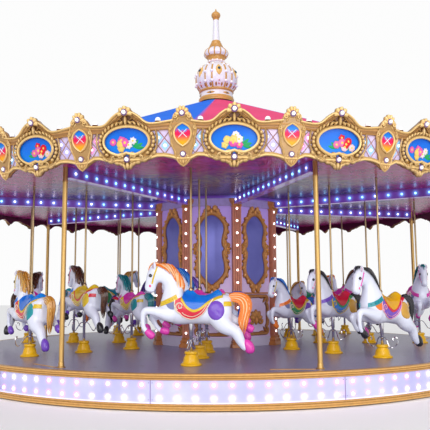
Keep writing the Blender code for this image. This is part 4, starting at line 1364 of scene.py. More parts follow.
def gem_seat(place, radius, height, tint=(0.17, 0.08, 0.26)):
    """Purple ring that holds a gem, and the white faceted gem in it, as two skins."""
    turnabout = circle(14)
    loop = stacked(place[0] + radius * np.cos(turnabout), place[1] + radius * np.sin(turnabout), height)
    seat = rod(loop, radius * 0.19, 4, looped=True, tint=tint)
    gem = ball(radius * 0.84, 4, 9, (0.93, 0.93, 0.97)).moved(shift(place[0], place[1], height + 0.004))
    return seat, gem


def make_cornice():
    """Relief, pictures, lattice, rails, gems and lamps of the 24 crests and 24 shields."""
    make_cornice_board()
    crests = [turn(PITCH * n + CREST_TURN) for n in range(CRESTS)]
    shields = [turn(PITCH * (n + 0.5) + SHIELD_TURN) for n in range(CRESTS)]
    small, opening = small_frame()
    top_rail = rail(mm((-12, 0), (8, 1), (12, 7), (4, 13), (2, 40), (10, 47), (10, 66), (-12, 68)),
        rail_heights, (0.66, 0.34, 0.1))
    low_rail = rail(mm((-12, 0), (10, 0), (18, 8), (18, 18), (8, 26), (12, 34), (6, 42), (-12, 42)),
        lambda angles: np.maximum(edge_around(LOW_EDGE, angles), 2.318))
    piece("cornice_relief", join(copies(on_cornice(join(large_frame(), lattice())), crests), top_rail,
        low_rail), RELIEF_GOLD, crease=60.0)
    piece("cornice_shields", copies(on_cornice(small), shields), RELIEF_GOLD,
        crease=60.0)
    pictures = [copies(on_cornice(large_picture(kind)), crests[kind::3]) for kind in range(3)]
    pictures.append(copies(on_cornice(small_picture(opening)), shields))
    piece("cornice_pictures", join(*pictures), ENAMEL)
    seats, gems = [], []
    for up, radius, height, spots in ((2.838, 0.031, 0.04, crests), (2.335, 0.03, 0.03, crests),
            (2.8, 0.029, 0.04, shields), (2.37, 0.029, 0.026, shields)):
        seat, gem = gem_seat((0.0, up), radius, height)
        seats.append(copies(on_cornice(seat), spots))
        gems.append(copies(on_cornice(gem), spots))
    dome = ball(0.033, 6, 10, (0.93, 0.93, 0.97)).moved(shift(0.0, 0.0, 0.03))
    cup = lathe(mm((4, 0), (34, 2), (36, 12), (30, 20), (4, 20)), 10, GOLD_DEEP)
    tops = [at(math.degrees(sideways / ARC), board_radius(2.716) - 0.002, DECK + 2.716)
        for sideways in (-0.364, 0.364)]
    gems += [copies(dome.moved(spot), crests) for spot in tops]
    seats += [copies(cup.moved(spot), crests) for spot in tops]
    piece("cornice_gem_seats", join(*seats), ENAMEL)
    piece("cornice_gems", join(*gems), GEM_WHITE)
    lamps, shades, painted_halos = [], [], []
    choice = np.array([(0.35, 0.66, 1.0), (1.0, 0.34, 0.72), (0.55, 0.5, 1.0)])
    lens = lamp_dome(0.0185)
    for n in range(CRESTS):
        for side in (-1.0, 1.0):
            tone = choice[(1, 0, 0, 2, 1, 1, 0, 2)[(2 * n + int(side > 0) + n // 5) % 8]]
            for u, v in ((0.362, 2.56), (0.432, 2.474)):
                spot = turn(PITCH * n + CREST_TURN + side * math.degrees(u / ARC))
                lamps.append(spot @ shift(0.0, -board_radius(v) + 0.012, DECK + v))
                shades.append(0.45 * tone + 0.55)
                # painted glow: a diamond in the lamp's colour behind each lamp
                painted_halos.append(on_cornice(painted_halo((0.0, v))).moved(spot).tinted(0.85 * tone + 0.06))
    piece("cornice_lamps", copies(lens, lamps, shades), LED)
    piece("cornice_painted_halos", join(*painted_halos), ENAMEL)


# roof and finial


def make_roof():
    """Cone of eight coated sheets that sag a little between welted seams, pink-red and blue by turns."""
    inner, outer = 0.301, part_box("roof_cone")[1].x
    radii = np.concatenate([[inner], np.linspace(0.42, outer - 0.05, 11), [outer]])
    count = 192
    seam_turn = 360.0 / count
    angles = np.arange(count) * 360.0 / count
    from_seam = np.abs((angles - seam_turn + 22.5) % 45.0 - 22.5) / 22.5
    share = (radii - inner) / (outer - inner)
    sag = 0.02 * np.sin(np.pi * share)[:, None] * (1.0 - from_seam[None, :] ** 2)
    height = DECK + 4.412 - 0.4 * radii[:, None] - sag
    welt = 0.004 * (from_seam > 0.985)
    top = polar(radii[:, None], angles, height + welt)
    under = polar(radii[:, None], angles, height - 0.03)
    section = np.floor((angles - seam_turn + 22.5) / 45.0).astype(int) % 2
    tint = np.where(section[:, None] == 0, (0.9, 0.065, 0.22), (0.001, 0.17, 0.92))
    rings = np.concatenate([top, under[::-1]])
    roof = tube(rings, np.broadcast_to(tint, rings.shape), 0, True)
    piece("roof_sheets", roof, ROOF_SHEET, hides=["roof_cone"], crease=50.0)


def dome_ribs(profile, count, radius, tint=GOLD, offset=0.0, start=0.0):
    """Raised ribs up a turned form, following its profile of (radius, height)."""
    line = smooth(profile, 26)
    path = stacked(0.0, -(line[:, 0] + offset), DECK + line[:, 1])
    rib = rod(path, radius, 6, 0.8, side=(0.0, 1.0, 0.2), tint=tint)
    return ringed(rib, start + 360.0 / count * np.arange(count))


def raised(profile):
    """A profile given above the deck, moved to the ground's zero."""
    return np.asarray(profile) + (0.0, DECK)


def make_finial():
    """Gold-lipped band, ribbed domes with pearls and almond jewels, stepped cone, rod and ball."""
    band = mm((20, 4531), (300, 4531), (302, 4526), (318, 4512), (316, 4498), (300, 4488), (296, 4470),
        (298, 4405), (304, 4392), (320, 4376), (326, 4352), (320, 4335), (316, 4322), (320, 4309),
        (20, 4309))
    gold = band[:, 1]
    tint = np.where(((gold > 4.48) | (gold < 4.395))[:, None], GOLD, (0.8, 0.78, 0.84))
    parts = [lathe(raised(band), 48, tint)]
    jewel = on_ring(leaf((0.0, 4.435), 0.19, 0.07, 0.0, 0.014, False), 0.293)
    stone = on_ring(ball(0.017, 5, 8, (0.01, 0.05, 0.1)).moved(shift(0.0, 4.435, 0.008)), 0.289)
    spaced = 60.0 * np.arange(6) - 38.0
    parts += [ringed(jewel.tinted(GOLD), spaced), ringed(stone, spaced)]
    piece("finial_band_dressed", join(*parts), FINIAL_GLOSS, hides=["finial_band"])

    large = mm((304, 4532), (344, 4585), (372, 4645), (383, 4710), (380, 4775), (366, 4840), (336, 4905),
        (290, 4960), (232, 5005), (176, 5040), (155, 5063))
    line = smooth(large, 30)
    lobed = lathe(raised([(0.02, 4.533), *line[:-1], (0.155, 5.0635), (0.02, 5.0635)]), 96,
        (0.8, 0.77, 0.86), wave=lambda angle, height: 0.975 + 0.02 * np.abs(np.cos(8.0 * angle)))
    picks = smooth(large[:9], 19)
    almonds = 60.0 * np.arange(6) - 9.0
    plain = np.sort(np.concatenate([almonds + 20.0, almonds + 40.0]))
    rib = dome_ribs(large[:9], 1, 0.0215, GOLD, -0.013)
    parts = [lobed, ringed(rib, plain)]
    for radius, height in picks[[4, 10, 16]]:
        bead = ball(0.029, 6, 9, (0.93, 0.91, 0.95)).moved(shift(0.0, -(radius + 0.002), DECK + height))
        parts.append(ringed(bead, plain))
    for radius, height in picks[[2, 4]]:
        bead = ball(0.014, 5, 8, (0.62, 0.16, 0.2)).moved(shift(0.0, -radius, DECK + height))
        parts.append(ringed(bead, almonds))
    prong = leaf((0.0, 4.572), 0.07, 0.044, 90.0, 0.018).tinted((0.42, 0.17, 0.035))
    parts.append(ringed(on_profile(prong, line), 18.0 * np.arange(20)))
    almond = leaf((0.0, 4.835), 0.23, 0.15, 90.0, 0.024).tinted((0.8, 0.48, 0.13))
    pearl = ball(0.025, 6, 9, (0.004, 0.05, 0.11)).moved(sized(1.0, 1.2, 0.8))
    pearl = pearl.moved(shift(0.0, 4.852, 0.022))
    parts.append(ringed(on_profile(join(almond, pearl), line), almonds))
    piece("finial_large_dome_dressed", join(*parts), FINIAL_GLOSS, hides=["finial_large_dome"])

    small = mm((165, 5065), (152, 5085), (150, 5112), (162, 5140), (168, 5165), (205, 5195), (226, 5228),
        (222, 5262), (204, 5294), (168, 5326), (127, 5355))
    line = smooth(small, 30)
    rise = line[:, 1]
    tint = np.where((rise < 5.185)[:, None], GOLD, (0.82, 0.79, 0.88))
    tint = np.where((rise < 5.1)[:, None], (0.82, 0.62, 0.68), tint)
    ends = np.array([tint[0], *tint, tint[-1]])

    def lobes(angle, height):
        """Lobes on the upper part, none on the neck."""
        return 1.0 - 0.03 * (height > DECK + 5.19) * (1 - np.abs(np.cos(8.0 * angle)))
    dome = lathe(raised([(0.02, 5.065), *line, (0.02, 5.355)]), 80, ends, wave=lobes)
    parts = [dome, dome_ribs(small[4:], 12, 0.018, GOLD, -0.01, -25.0)]
    bead = ball(0.02, 6, 9, (0.92, 0.88, 0.92)).moved(shift(0.0, -0.156, DECK + 5.086))
    parts.append(ringed(bead, 30.0 * np.arange(12) - 10.0))
    piece("finial_small_dome_dressed", join(*parts), FINIAL_GLOSS, hides=["finial_small_dome"])

    spire = mm((20, 5356.5), (132, 5356.5), (136, 5366), (128, 5380), (118, 5384), (121, 5398), (113, 5413),
        (102, 5417), (105, 5432), (98, 5447), (86, 5451), (88, 5470), (82, 5486), (76, 5494), (66, 5500),
        (50, 5895), (50, 5900), (56, 5908), (56, 5918), (46, 5926), (66, 5944), (81, 5970), (85, 5998),
        (78, 6025), (58, 6046), (32, 6062), (16, 6085), (6, 6119))
    rise = spire[:, 1]
    tint = np.where(((rise < 5.496) | (rise > 5.898))[:, None], GOLD, (0.8, 0.79, 0.86))
    piece("finial_spire_dressed", lathe(raised(spire), 40, tint), FINIAL_GLOSS, hides=["finial_spire"])


def on_ring(skin, radius):
    """Bend a flat drawing onto a round wall."""
    u, v, w = skin.points.T
    return skin.mapped(polar(radius + w, np.degrees(u / radius), DECK + v))


def on_profile(skin, line):
    """Bend a flat drawing onto a turned form given by its profile line."""
    u, v, w = skin.points.T
    radius = np.interp(v, line[:, 1], line[:, 0])
    return skin.mapped(polar(radius + w - 0.004, np.degrees(u / radius), DECK + v))


# horses, drawn heading along -X with the pole at the origin and heights from the belly


BELLY = 0.53
# top forward, top up, bottom forward, bottom up, half width
TORSO = mm((-497, 300, -503, 140, 45), (-470, 335, -500, 50, 100), (-420, 352, -460, -10, 140),
    (-350, 352, -380, -25, 162), (-280, 340, -280, -22, 166), (-200, 328, -200, -8, 158),
    (-100, 324, -100, 0, 152), (0, 330, 0, 0, 152), (60, 350, 80, -8, 153), (88, 385, 150, -10, 155),
    (90, 420, 225, 4, 154), (82, 445, 300, 60, 150), (90, 470, 362, 150, 136), (100, 510, 378, 240, 116),
    (120, 560, 356, 330, 96), (150, 612, 336, 410, 80), (190, 658, 330, 465, 69), (264, 700, 348, 498, 64),
    (345, 726, 374, 506, 64), (405, 726, 396, 496, 64), (452, 706, 412, 474, 62), (487, 670, 424, 452, 58),
    (510, 625, 432, 434, 53), (528, 570, 440, 418, 47), (548, 512, 448, 400, 46), (564, 472, 462, 386, 48),
    (573, 438, 488, 377, 45), (565, 408, 524, 382, 29))
# forward, sideways, up and radius down each leg
LEGS = {
    "near_fore": mm((200, 70, 110, 98), (285, 80, 120, 86), (372, 85, 142, 68), (468, 87, 160, 54),
        (538, 88, 165, 47), (568, 88, 135, 43), (578, 88, 70, 33), (578, 88, 10, 29), (566, 88, -45, 32),
        (540, 88, -80, 30), (514, 88, -98, 30)),
    "far_fore": mm((190, -70, 110, 96), (280, -80, 100, 82), (362, -85, 95, 64), (444, -86, 102, 51),
        (494, -86, 94, 46), (492, -86, 50, 38), (460, -86, -5, 30), (420, -86, -60, 32),
        (388, -86, -82, 30), (362, -86, -87, 30)),
    "near_hind": mm((-300, 70, 145, 122), (-345, 80, 70, 122), (-400, 88, 0, 112), (-455, 91, -42, 95),
        (-510, 92, -68, 81), (-556, 92, -102, 74), (-584, 92, -150, 67), (-606, 92, -198, 58),
        (-632, 92, -240, 50), (-660, 92, -272, 45), (-688, 92, -292, 38)),
    "far_hind": mm((-300, -70, 150, 118), (-370, -80, 110, 112), (-450, -88, 65, 88), (-520, -90, 35, 64),
        (-575, -90, 18, 50), (-620, -90, -5, 39), (-650, -90, -26, 37), (-680, -90, -44, 36)),
}
HOOVES = {
    "near_fore": mm((538, 88, -76, 30), (520, 88, -92, 42), (496, 88, -114, 48), (468, 88, -138, 47),
        (448, 88, -154, 37), (440, 88, -160, 18)),
    "far_fore": mm((394, -86, -78, 30), (374, -86, -84, 42), (344, -86, -90, 48), (312, -86, -94, 47),
        (290, -86, -96, 36), (282, -86, -97, 18)),
    "near_hind": mm((-656, 92, -190, 24), (-676, 92, -216, 50), (-700, 92, -252, 62), (-716, 92, -292, 62),
        (-722, 92, -326, 52), (-724, 92, -345, 26)),
    "far_hind": mm((-656, -90, -28, 36), (-674, -90, -40, 46), (-704, -90, -58, 51), (-732, -90, -74, 48),
        (-750, -90, -84, 36), (-757, -90, -88, 18)),
}
# forward, top, bottom and half width of the barrel, for tack that lies on it
BARREL = mm((-500, 320, 120, 60), (-450, 345, 0, 125), (-390, 354, -22, 155), (-280, 342, -22, 166),
    (-150, 327, -4, 156), (0, 332, 0, 153), (80, 372, -10, 154), (160, 430, -10, 155), (240, 520, 20, 150),
    (320, 600, 90, 130), (400, 720, 200, 90))


def drawn(rows):
    """Rows of (forward, sideways, up) as points of a horse that heads along -X, its near side at -Y."""
    rows = np.asarray(rows, float)
    raised = np.clip((rows[..., 2] - 0.37) / 0.27, 0.0, 1.0)
    nod = 0.036 * raised ** 2 * (3.0 - 2.0 * raised) * (rows[..., 0] > 0.0)
    return stacked(-rows[..., 0] - nod, -rows[..., 1], rows[..., 2])


def torso():
    """Loft of rounded ovals from the rump over barrel and neck to the muzzle."""
    top_u, top_z, low_u, low_z, half = smooth(TORSO, 84).T[:, :, None]
    t = circle(32)
    rise = np.sign(np.cos(t)) * np.abs(np.cos(t)) ** 0.9
    side = np.sign(np.sin(t)) * np.abs(np.sin(t)) ** 0.9
    u = (top_u + low_u) / 2.0 + (top_u - low_u) / 2.0 * rise
    z = (top_z + low_z) / 2.0 + (top_z - low_z) / 2.0 * rise
    return tube(drawn(stacked(u, half * side, z)))


def limb(rows, count=26, sides=14, flat=0.92):
    """Bar whose centre and radius run smoothly through rows of (forward, sideways, up, radius)."""
    line = smooth(rows, count)
    return rod(drawn(line[:, :3]), line[:, 3], sides, flat, side=ACROSS)


def blended(skin, voxel, rounds, share=1.0):
    """Several crossing skins as one smooth skin: voxel remesh, smoothing, then a share of its faces."""
    form = as_object(skin)
    remesh = form.modifiers.new("remesh", "REMESH")
    remesh.mode = "VOXEL"
    remesh.voxel_size = voxel
    soften = form.modifiers.new("soften", "SMOOTH")
    soften.factor = 0.5
    soften.iterations = rounds
    if share < 1.0:
        form.modifiers.new("thin", "DECIMATE").ratio = share
    return as_shaped(form)


def laid_on(form, grid, rise, sideways=False):
    """A grid of points moved to the nearest place of a form, or straight across, and off it by a rise."""
    grid = np.asarray(grid, float)
    mesh = bpy.data.meshes.new("drape")
    mesh.from_pydata(grid.reshape(-1, 3).tolist(), [], [])
    drape = placed("drape", mesh)
    wrap = drape.modifiers.new("wrap", "SHRINKWRAP")
    wrap.target = form
    wrap.wrap_method = "PROJECT" if sideways else "NEAREST_SURFACEPOINT"
    wrap.use_project_y = sideways
    wrap.wrap_mode = "ABOVE_SURFACE"
    wrap.offset = rise
    return after_modifiers(drape)[1].reshape(grid.shape)


def on_flank(flat):
    """Points beside the barrel at places (forward, up), on the near side."""
    u, z = flat[..., 0], flat[..., 1]
    top, low, half = (np.interp(u, BARREL[:, 0], BARREL[:, column]) for column in (1, 2, 3))
    rise = np.clip((z - (top + low) / 2.0) / ((top - low) / 2.0), -0.999, 0.999)
    return drawn(stacked(u, 1.04 * half * np.sqrt(1.0 - rise ** 2), z))


def pair(skin):
    """A skin on both sides of the horse."""
    return skin.with_mirrored((1.0, -1.0, 1.0))


def amount(value):
    """How far between two colours a point is, kept in its tint until the horse is painted."""
    value = np.asarray(value, float)
    return np.stack([value] * 3, -1) if value.ndim else np.full(3, float(value))


def cloth(form, grid, thickness, shade=0.5):
    """A patch of tack laid on the form."""
    outer = laid_on(form, grid, thickness)
    inner = laid_on(form, grid, -0.004)
    return shell(outer, inner, amount(shade))


def strap(form, path, width, thickness, shade=0.5, across=5):
    """Ribbon of a width along a line of (forward, up) on the flank."""
    path = smooth(path, 13)
    ahead = directions(path)
    side = stacked(-ahead[:, 1], ahead[:, 0])
    share = np.linspace(-0.5, 0.5, across)
    line = path[:, None] + share[:, None] * width * side[:, None]
    return cloth(form, on_flank(line), thickness, shade)


def between(low, high, share):
    """Points at shares of the way from one line to another."""
    return low[:, None] * (1.0 - share[None, :, None]) + high[:, None] * share[None, :, None]


def saddle_parts(form):
    """Saddle with pommel and cantle, its edge band, the cloth below and its piping and scroll."""
    u = np.linspace(0.098, -0.385, 22)
    edge = np.interp(-u, -np.array([0.1, 0.085, 0.03, -0.05, -0.13, -0.2, -0.29, -0.388]),
        [0.33, 0.29, 0.215, 0.168, 0.196, 0.252, 0.308, 0.345])
    edge = np.convolve(np.pad(edge, 1, mode="edge"), np.ones(3) / 3.0, mode="valid")

    def over_the_back(drop, first, last, shares):
        """Grid from near edge over the back to the far edge."""
        forward = np.linspace(first, last, 22)
        top, low, half = (np.interp(forward, BARREL[:, 0], BARREL[:, column]) for column in (1, 2, 3))
        middle, reach = (top + low) / 2.0, (top - low) / 2.0
        limit = np.arccos(np.clip((edge - drop - middle) / reach, -0.95, 0.999))
        t = limit[:, None] * shares
        side, rise = 1.03 * half[:, None] * np.sin(t), 1.03 * reach[:, None] * np.cos(t)
        return drawn(stacked(forward[:, None], side, middle[:, None] + rise)), forward

    shares = np.sin(np.linspace(-1.0, 1.0, 17) * 1.25) / math.sin(1.25)
    grid, forward = over_the_back(0.0, 0.098, -0.385, shares)
    seat = laid_on(form, grid, 0.017)
    stations = np.array([0.1, 0.075, 0.035, -0.02, -0.055, -0.095,
        -0.18, -0.25, -0.305, -0.34, -0.372, -0.39])
    heights = [0.385, 0.402, 0.418, 0.412, 0.376, 0.35, 0.348, 0.368, 0.404, 0.418, 0.392, 0.362]
    line = np.interp(-forward, -stations, heights)
    middle = seat[:, seat.shape[1] // 2, 2]
    wide = np.where(forward > -0.07, 0.042, 0.1)[:, None]
    crown = np.exp(-(seat[..., 1] / wide) ** 2)
    seat[..., 2] += np.maximum(line - middle, -0.004)[:, None] * crown
    under = laid_on(form, grid, -0.004)
    # painted shade: the saddle is lightest along the middle of the seat and darker down its sides
    saddle = shell(seat, under, amount(np.clip(0.05 + 0.75 * crown, 0.0, 1.0)))
    shares = np.array([-1.0, -0.96, -0.88, -0.8, 0.0, 0.8, 0.88, 0.96, 1.0])
    grid, forward = over_the_back(0.031, 0.108, -0.398, shares)
    trim = cloth(form, grid, 0.01, 0.5)

    low = smooth(mm((176, 292), (180, 235), (170, 180), (140, 146), (118, 134), (87, 99), (32, 73),
        (-32, 62), (-106, 85), (-161, 122), (-200, 168), (-238, 228), (-285, 295)), 25)
    high = smooth(mm((110, 318), (85, 303), (68, 282), (50, 262), (30, 250), (5, 232), (-30, 218),
        (-60, 215), (-95, 224), (-125, 238), (-165, 262), (-215, 288), (-270, 310)), 25)
    flat = between(low, high, np.linspace(0.0, 1.0, 5))
    blanket = cloth(form, on_flank(flat), 0.007, 0.5)
    rim = laid_on(form, on_flank(low), 0.007)
    piping = rod(rim, 0.0085, 4, tint=amount(0.7))
    stripe = low + 0.03 * unit(high - low)
    line = laid_on(form, on_flank(stripe[9:22]), 0.008)
    piping = join(piping, rod(line, 0.0048, 4, tint=amount(0.4)))
    volute = spiral((0.118, 0.214), 0.052, 1.3, 300.0, 1.0, 0.22, 18)
    scroll = rod(laid_on(form, on_flank(volute), 0.009), np.linspace(0.0095, 0.006, 18), 4, tint=amount(0.7))
    return {"saddle": saddle, "trim": trim, "cloth": pair(blanket), "piping": pair(join(piping, scroll))}


def disc_part(form):
    """Round painted boss on the flank."""
    t = np.linspace(0.0, 2.0 * np.pi, 23)
    reach = np.array([0.002, 0.05, 0.092, 0.101])
    u = -0.322 + reach[None, :] * np.cos(t)[:, None]
    z = 0.165 + 1.14 * reach[None, :] * np.sin(t)[:, None]
    grid = drawn(stacked(u, 0.3, z))
    rise = np.array([0.012, 0.011, 0.008, 0.0])
    outer = laid_on(form, grid, 0.0, True)
    face = outer - rise[None, :, None] * (0.0, 1.0, 0.0)
    back = outer + (0.0, 0.006, 0.0)
    return shell(face, back, amount(np.broadcast_to(0.3 + 5.0 * reach, face.shape[:2])))


def mane_part():
    """Streaked locks from the crest down both sides of the neck, over a rounded crest."""
    outer = mm((385, 712), (336, 733), (272, 736), (206, 716), (150, 668), (106, 604), (80, 536), (76, 474),
        (90, 424), (124, 375))
    inner = mm((372, 690), (300, 668), (235, 632), (182, 584), (158, 531), (148, 485), (138, 439),
        (145, 405), (152, 380), (158, 361))
    outside, inside = smooth(outer, 161), smooth(inner, 161)
    crest_line = 0.62 * smooth(outer, 15) + 0.38 * smooth(inner, 15)
    flat_line = stacked(crest_line[:, 0], 0.0, crest_line[:, 1])
    size = 0.042 * np.sin(np.pi * np.linspace(0.1, 0.94, 15)) ** 0.4
    crest = rod(drawn(flat_line), size, 8, 0.7, side=ACROSS, tint=amount(0.1))
    locks = []
    for n in range(18):
        s = np.linspace(0.0, 1.0, 8)
        start, stretch = n / 18.0 * 0.86 - 0.04, 0.27 + 0.05 * math.sin(2.1 * n)
        place = np.clip((start + stretch * s) * 160.0, 0.0, 160.0).astype(int)
        ease = s ** 1.15 * (0.92 + 0.18 * math.sin(3.7 * n))
        row = outside[place] * (1.0 - ease)[:, None] + inside[place] * ease[:, None]
        row = row + 0.006 * np.sin(2.0 * np.pi * s + n)[:, None]
        side = 0.018 + 0.003 * (n % 2) + 0.072 * np.clip(ease, 0.0, 1.1) ** 0.6
        swell = np.sin(np.pi * np.clip(0.12 + 0.86 * s, 0.0, 1.0)) ** 0.6
        girth = (0.016, 0.0085, 0.014, 0.0075)[n % 4] * swell
        points = drawn(stacked(row[:, 0], side, row[:, 1]))
        points[:, 1] -= 0.007 * (n % 2)
        locks.append(rod(points, np.maximum(girth, 0.0015), 5, 0.6, side=(0.0, 1.0, 0.3),
            tint=amount((0.0, 1.0, 0.15, 0.85)[n % 4])))
    locks = [join(crest, pair(join(*locks)))]
    for side, reach in ((0.0, 1.0), (0.016, 0.85), (-0.018, 0.75)):
        path = smooth([(0.368, side * 0.5, 0.722), (0.412, side, 0.744), (0.452, side, 0.734),
            (0.48, side * 1.4, 0.7), (0.496, side * 1.6, 0.655)], 9)[:int(9 * reach)]
        locks.append(rod(drawn(path), np.linspace(0.021, 0.004, len(path)), 5, side=ACROSS,
            tint=amount(0.1 + 30.0 * abs(side))))
    return join(*locks)


def tail_part():
    """Streaked locks that leave the dock, arch back and fall to one tip."""
    outer = smooth(mm((-470, 345), (-525, 368), (-590, 368), (-665, 345), (-715, 290), (-730, 205),
        (-708, 105), (-680, 5), (-652, -90), (-640, -130)), 15)
    inner = smooth(mm((-480, 285), (-520, 272), (-565, 262), (-600, 235), (-614, 175), (-600, 100),
        (-582, 35), (-590, -30), (-615, -85), (-634, -120)), 15)
    s = np.linspace(0.0, 1.0, 15)
    full = np.sin(np.pi * np.clip(0.14 + 0.84 * s, 0.0, 1.0)) ** 0.7
    locks = []
    for n in range(18):
        pale = (n % 9) % 2
        share = 0.06 + 0.11 * (n % 9)
        lean = (0.032, 0.042)[pale] * math.sqrt(1.0 - (2.0 * share - 1.0) ** 2) * (1.0 if n < 9 else -1.0)
        line = outer * (1.0 - share) + inner * share
        sway = 0.007 * np.sin(5.0 * s + n)
        points = drawn(stacked(line[:, 0] + sway, lean * full, line[:, 1]))
        stop = 15 - (n * 3) % 4
        girth = (0.021, 0.0088)[pale] * full * np.clip((stop - np.arange(15)) / 4.0, 0.06, 1.0)
        locks.append(rod(points[:stop], np.maximum(girth[:stop], 0.0012), 5, side=ACROSS,
            tint=amount((0.08, 0.95)[pale])))
    return join(*locks)


def head_parts(form):
    """Ears, eyes with lashes, nostrils and the bridle's straps and buttons."""
    ear = smooth(mm((410, 44, 655, 24), (412, 50, 688, 28), (413, 54, 718, 25), (411, 53, 744, 14),
        (408, 50, 760, 2)), 8)
    ears = rod(drawn(ear[:, :3]), ear[:, 3], 7, 0.55, side=(0.5, 1.0, 0.0), tint=amount(0.5))
    hollow = smooth(mm((425, 58, 676, 9), (427, 64, 700, 14), (425, 62, 722, 10), (419, 57, 742, 2)), 6)
    hollows = rod(drawn(hollow[:, :3]), hollow[:, 3], 5, 0.4, side=(0.5, 1.0, 0.0), tint=amount(0.5))
    eye_spot = laid_on(form, drawn([[(0.466, 0.07, 0.584)]]), 0.0)[0, 0]
    eye = ball(0.019, 6, 9, squash=0.9).moved(sized(1.15, 0.55, 1.0)).moved(shift(*eye_spot))
    gleam = ball(0.003, 4, 5).moved(shift(eye_spot[0] - 0.005, eye_spot[1] - 0.009, eye_spot[2] + 0.007))
    lid = mm((443, 68, 584), (452, 70, 601), (468, 70, 607), (483, 68, 598), (491, 66, 584))
    lash = rod(laid_on(form, drawn(smooth(lid, 7)), 0.004), 0.0045, 4, tint=amount(0.0))
    nose = laid_on(form, drawn([[(0.492, 0.055, 0.462)]]), 0.0)[0, 0]
    nostril = ball(0.016, 5, 8, squash=1.15).moved(sized(0.95, 0.35, 1.0)).moved(shift(*nose))

    def head_strap(rows, width, thickness=0.005):
        """Narrow strap over the head along rows of (forward, sideways, up)."""
        path = drawn(smooth(rows, 11))
        return rod(laid_on(form, path, thickness * 0.4), width / 2.0, 6, 0.45, side=ACROSS,
            tint=amount(0.5))
    cheek = head_strap(mm((378, 58, 705), (386, 70, 665), (402, 76, 620), (422, 74, 575), (442, 68, 530),
        (458, 62, 496)), 0.02)
    button = ball(0.013, 4, 7, squash=0.6).moved(turn(90.0, "X"))
    spots = laid_on(form, drawn([[(0.458, 0.062, 0.496), (0.39, 0.072, 0.655)]]), 0.003)[0]
    buttons = copies(button, [shift(*spot) for spot in spots]).tinted(amount(1.0))
    return {
        "ears": pair(ears), "inner_ears": pair(hollows), "eyes": pair(join(eye, lash)),
        "gleams": pair(gleam), "nostrils": pair(nostril), "bridle": pair(join(cheek, buttons)),
    }


def breast_parts(form):
    """Collar band across the breast with studs, the drape behind it, and the crupper."""
    band = strap(form, mm((378, 244), (330, 256), (275, 276), (215, 300), (150, 328)), 0.06, 0.008)
    line = smooth(mm((345, 252), (275, 276), (215, 300), (175, 316)), 5)
    spots = laid_on(form, on_flank(line)[None], 0.008)[0]
    stud = ball(0.011, 4, 6, squash=0.6).moved(turn(90.0, "X"))
    studs = copies(stud, [shift(*spot) for spot in spots]).tinted(amount(0.0))
    low = smooth(mm((290, 236), (262, 200), (225, 180), (188, 178)), 9)
    high = smooth(mm((285, 250), (255, 258), (222, 262), (190, 272)), 9)
    flat = between(low, high, np.linspace(0.0, 1.0, 4))
    drape = cloth(form, on_flank(flat), 0.006)
    crupper = strap(form, [(-0.412, 0.238), (-0.455, 0.239), (-0.5, 0.238)], 0.054, 0.008)
    return {"collar": pair(join(band, studs)), "drape": pair(drape), "crupper": pair(crupper)}


def horse_mould():
    """Every part of one horse: the smooth body, then what is painted or strapped on it."""
    rough = join(torso(), *[limb(rows) for rows in LEGS.values()])
    shape = blended(rough, 0.0135, 7)[1]
    body = blended(rough, 0.0135, 7, 0.18)[0]
    form = placed("horse_form", shape)
    hooves = join(*[limb(rows, 10, 9, 0.86) for rows in HOOVES.values()])
    parts = {
        "body": body.tinted(amount(0.5)), "hooves": hooves.tinted(amount(0.5)), "mane": mane_part(),
        "tail": tail_part(),
    }
    parts.update(saddle_parts(form))
    parts["disc"] = pair(disc_part(form))
    parts.update(head_parts(form))
    parts.update(breast_parts(form))
    bpy.data.objects.remove(form, do_unlink=True)
    return parts


def footrests(size):
    """Chrome wires that leave the shaft, dip and end in an open stirrup loop on each side."""
    path = mm((0, 0, 345), (0, 40, 345), (10, 75, 320), (22, 105, 268), (30, 135, 226), (20, 170, 217),
        (-5, 205, 240), (-28, 225, 290), (-30, 220, 335), (-10, 195, 352), (15, 180, 335), (20, 185, 310))
    # wide enough at every size to clear the stands
    narrowest = 0.93
    line = smooth(path, 28) * (1.0, max(size, narrowest), 1.0)
    wire = rod(line, 0.0074, 5, side=ACROSS)
    knob = ball(0.011, 4, 6).moved(shift(*line[-1]))
    nut = ball(0.026, 5, 9, squash=0.6).moved(shift(0.0, 0.0, 0.336))
    half = join(wire, knob)
    wires = join(half, half.moved(turn(180.0)), nut)
    return Skin(wires.points, wires.corners, wires.counts, slot=2)


# parts of one shade on every horse
COAT = (0.77, 0.8, 0.93)
PLAIN = {"body": COAT, "ears": COAT, "inner_ears": (0.55, 0.4, 0.52), "eyes": (0.012, 0.01, 0.014),
    "gleams": (0.9, 0.9, 0.95), "nostrils": (0.84, 0.12, 0.32)}
# hair and tack in two shades, from dark to light
ORANGE_HAIR = ((0.86, 0.2, 0.012), (0.94, 0.66, 0.38))
BLACK_HAIR = ((0.006, 0.006, 0.008), (0.055, 0.05, 0.06))
BROWN_HAIR = ((0.05, 0.014, 0.006), (0.2, 0.08, 0.035))
GOLDEN_HAIR = ((0.5, 0.2, 0.02), (0.85, 0.55, 0.16))
BLUE_HAIR = ((0.005, 0.06, 0.36), (0.06, 0.28, 0.72))
TEAL_HAIR = ((0.004, 0.14, 0.17), (0.04, 0.38, 0.42))
PURPLE_HAIR = ((0.06, 0.02, 0.22), (0.26, 0.14, 0.55))
YELLOW = ((0.62, 0.4, 0.01), (0.82, 0.58, 0.03))
SKY_BLUE = ((0.001, 0.13, 0.62), (0.003, 0.25, 0.82))
RED = ((0.6, 0.008, 0.03), (0.74, 0.02, 0.06))
MAGENTA = ((0.64, 0.02, 0.34), (0.82, 0.09, 0.5))
VIOLET_PAINT = ((0.13, 0.042, 0.44), (0.21, 0.085, 0.57))
TEAL = ((0.003, 0.2, 0.26), (0.01, 0.32, 0.36))
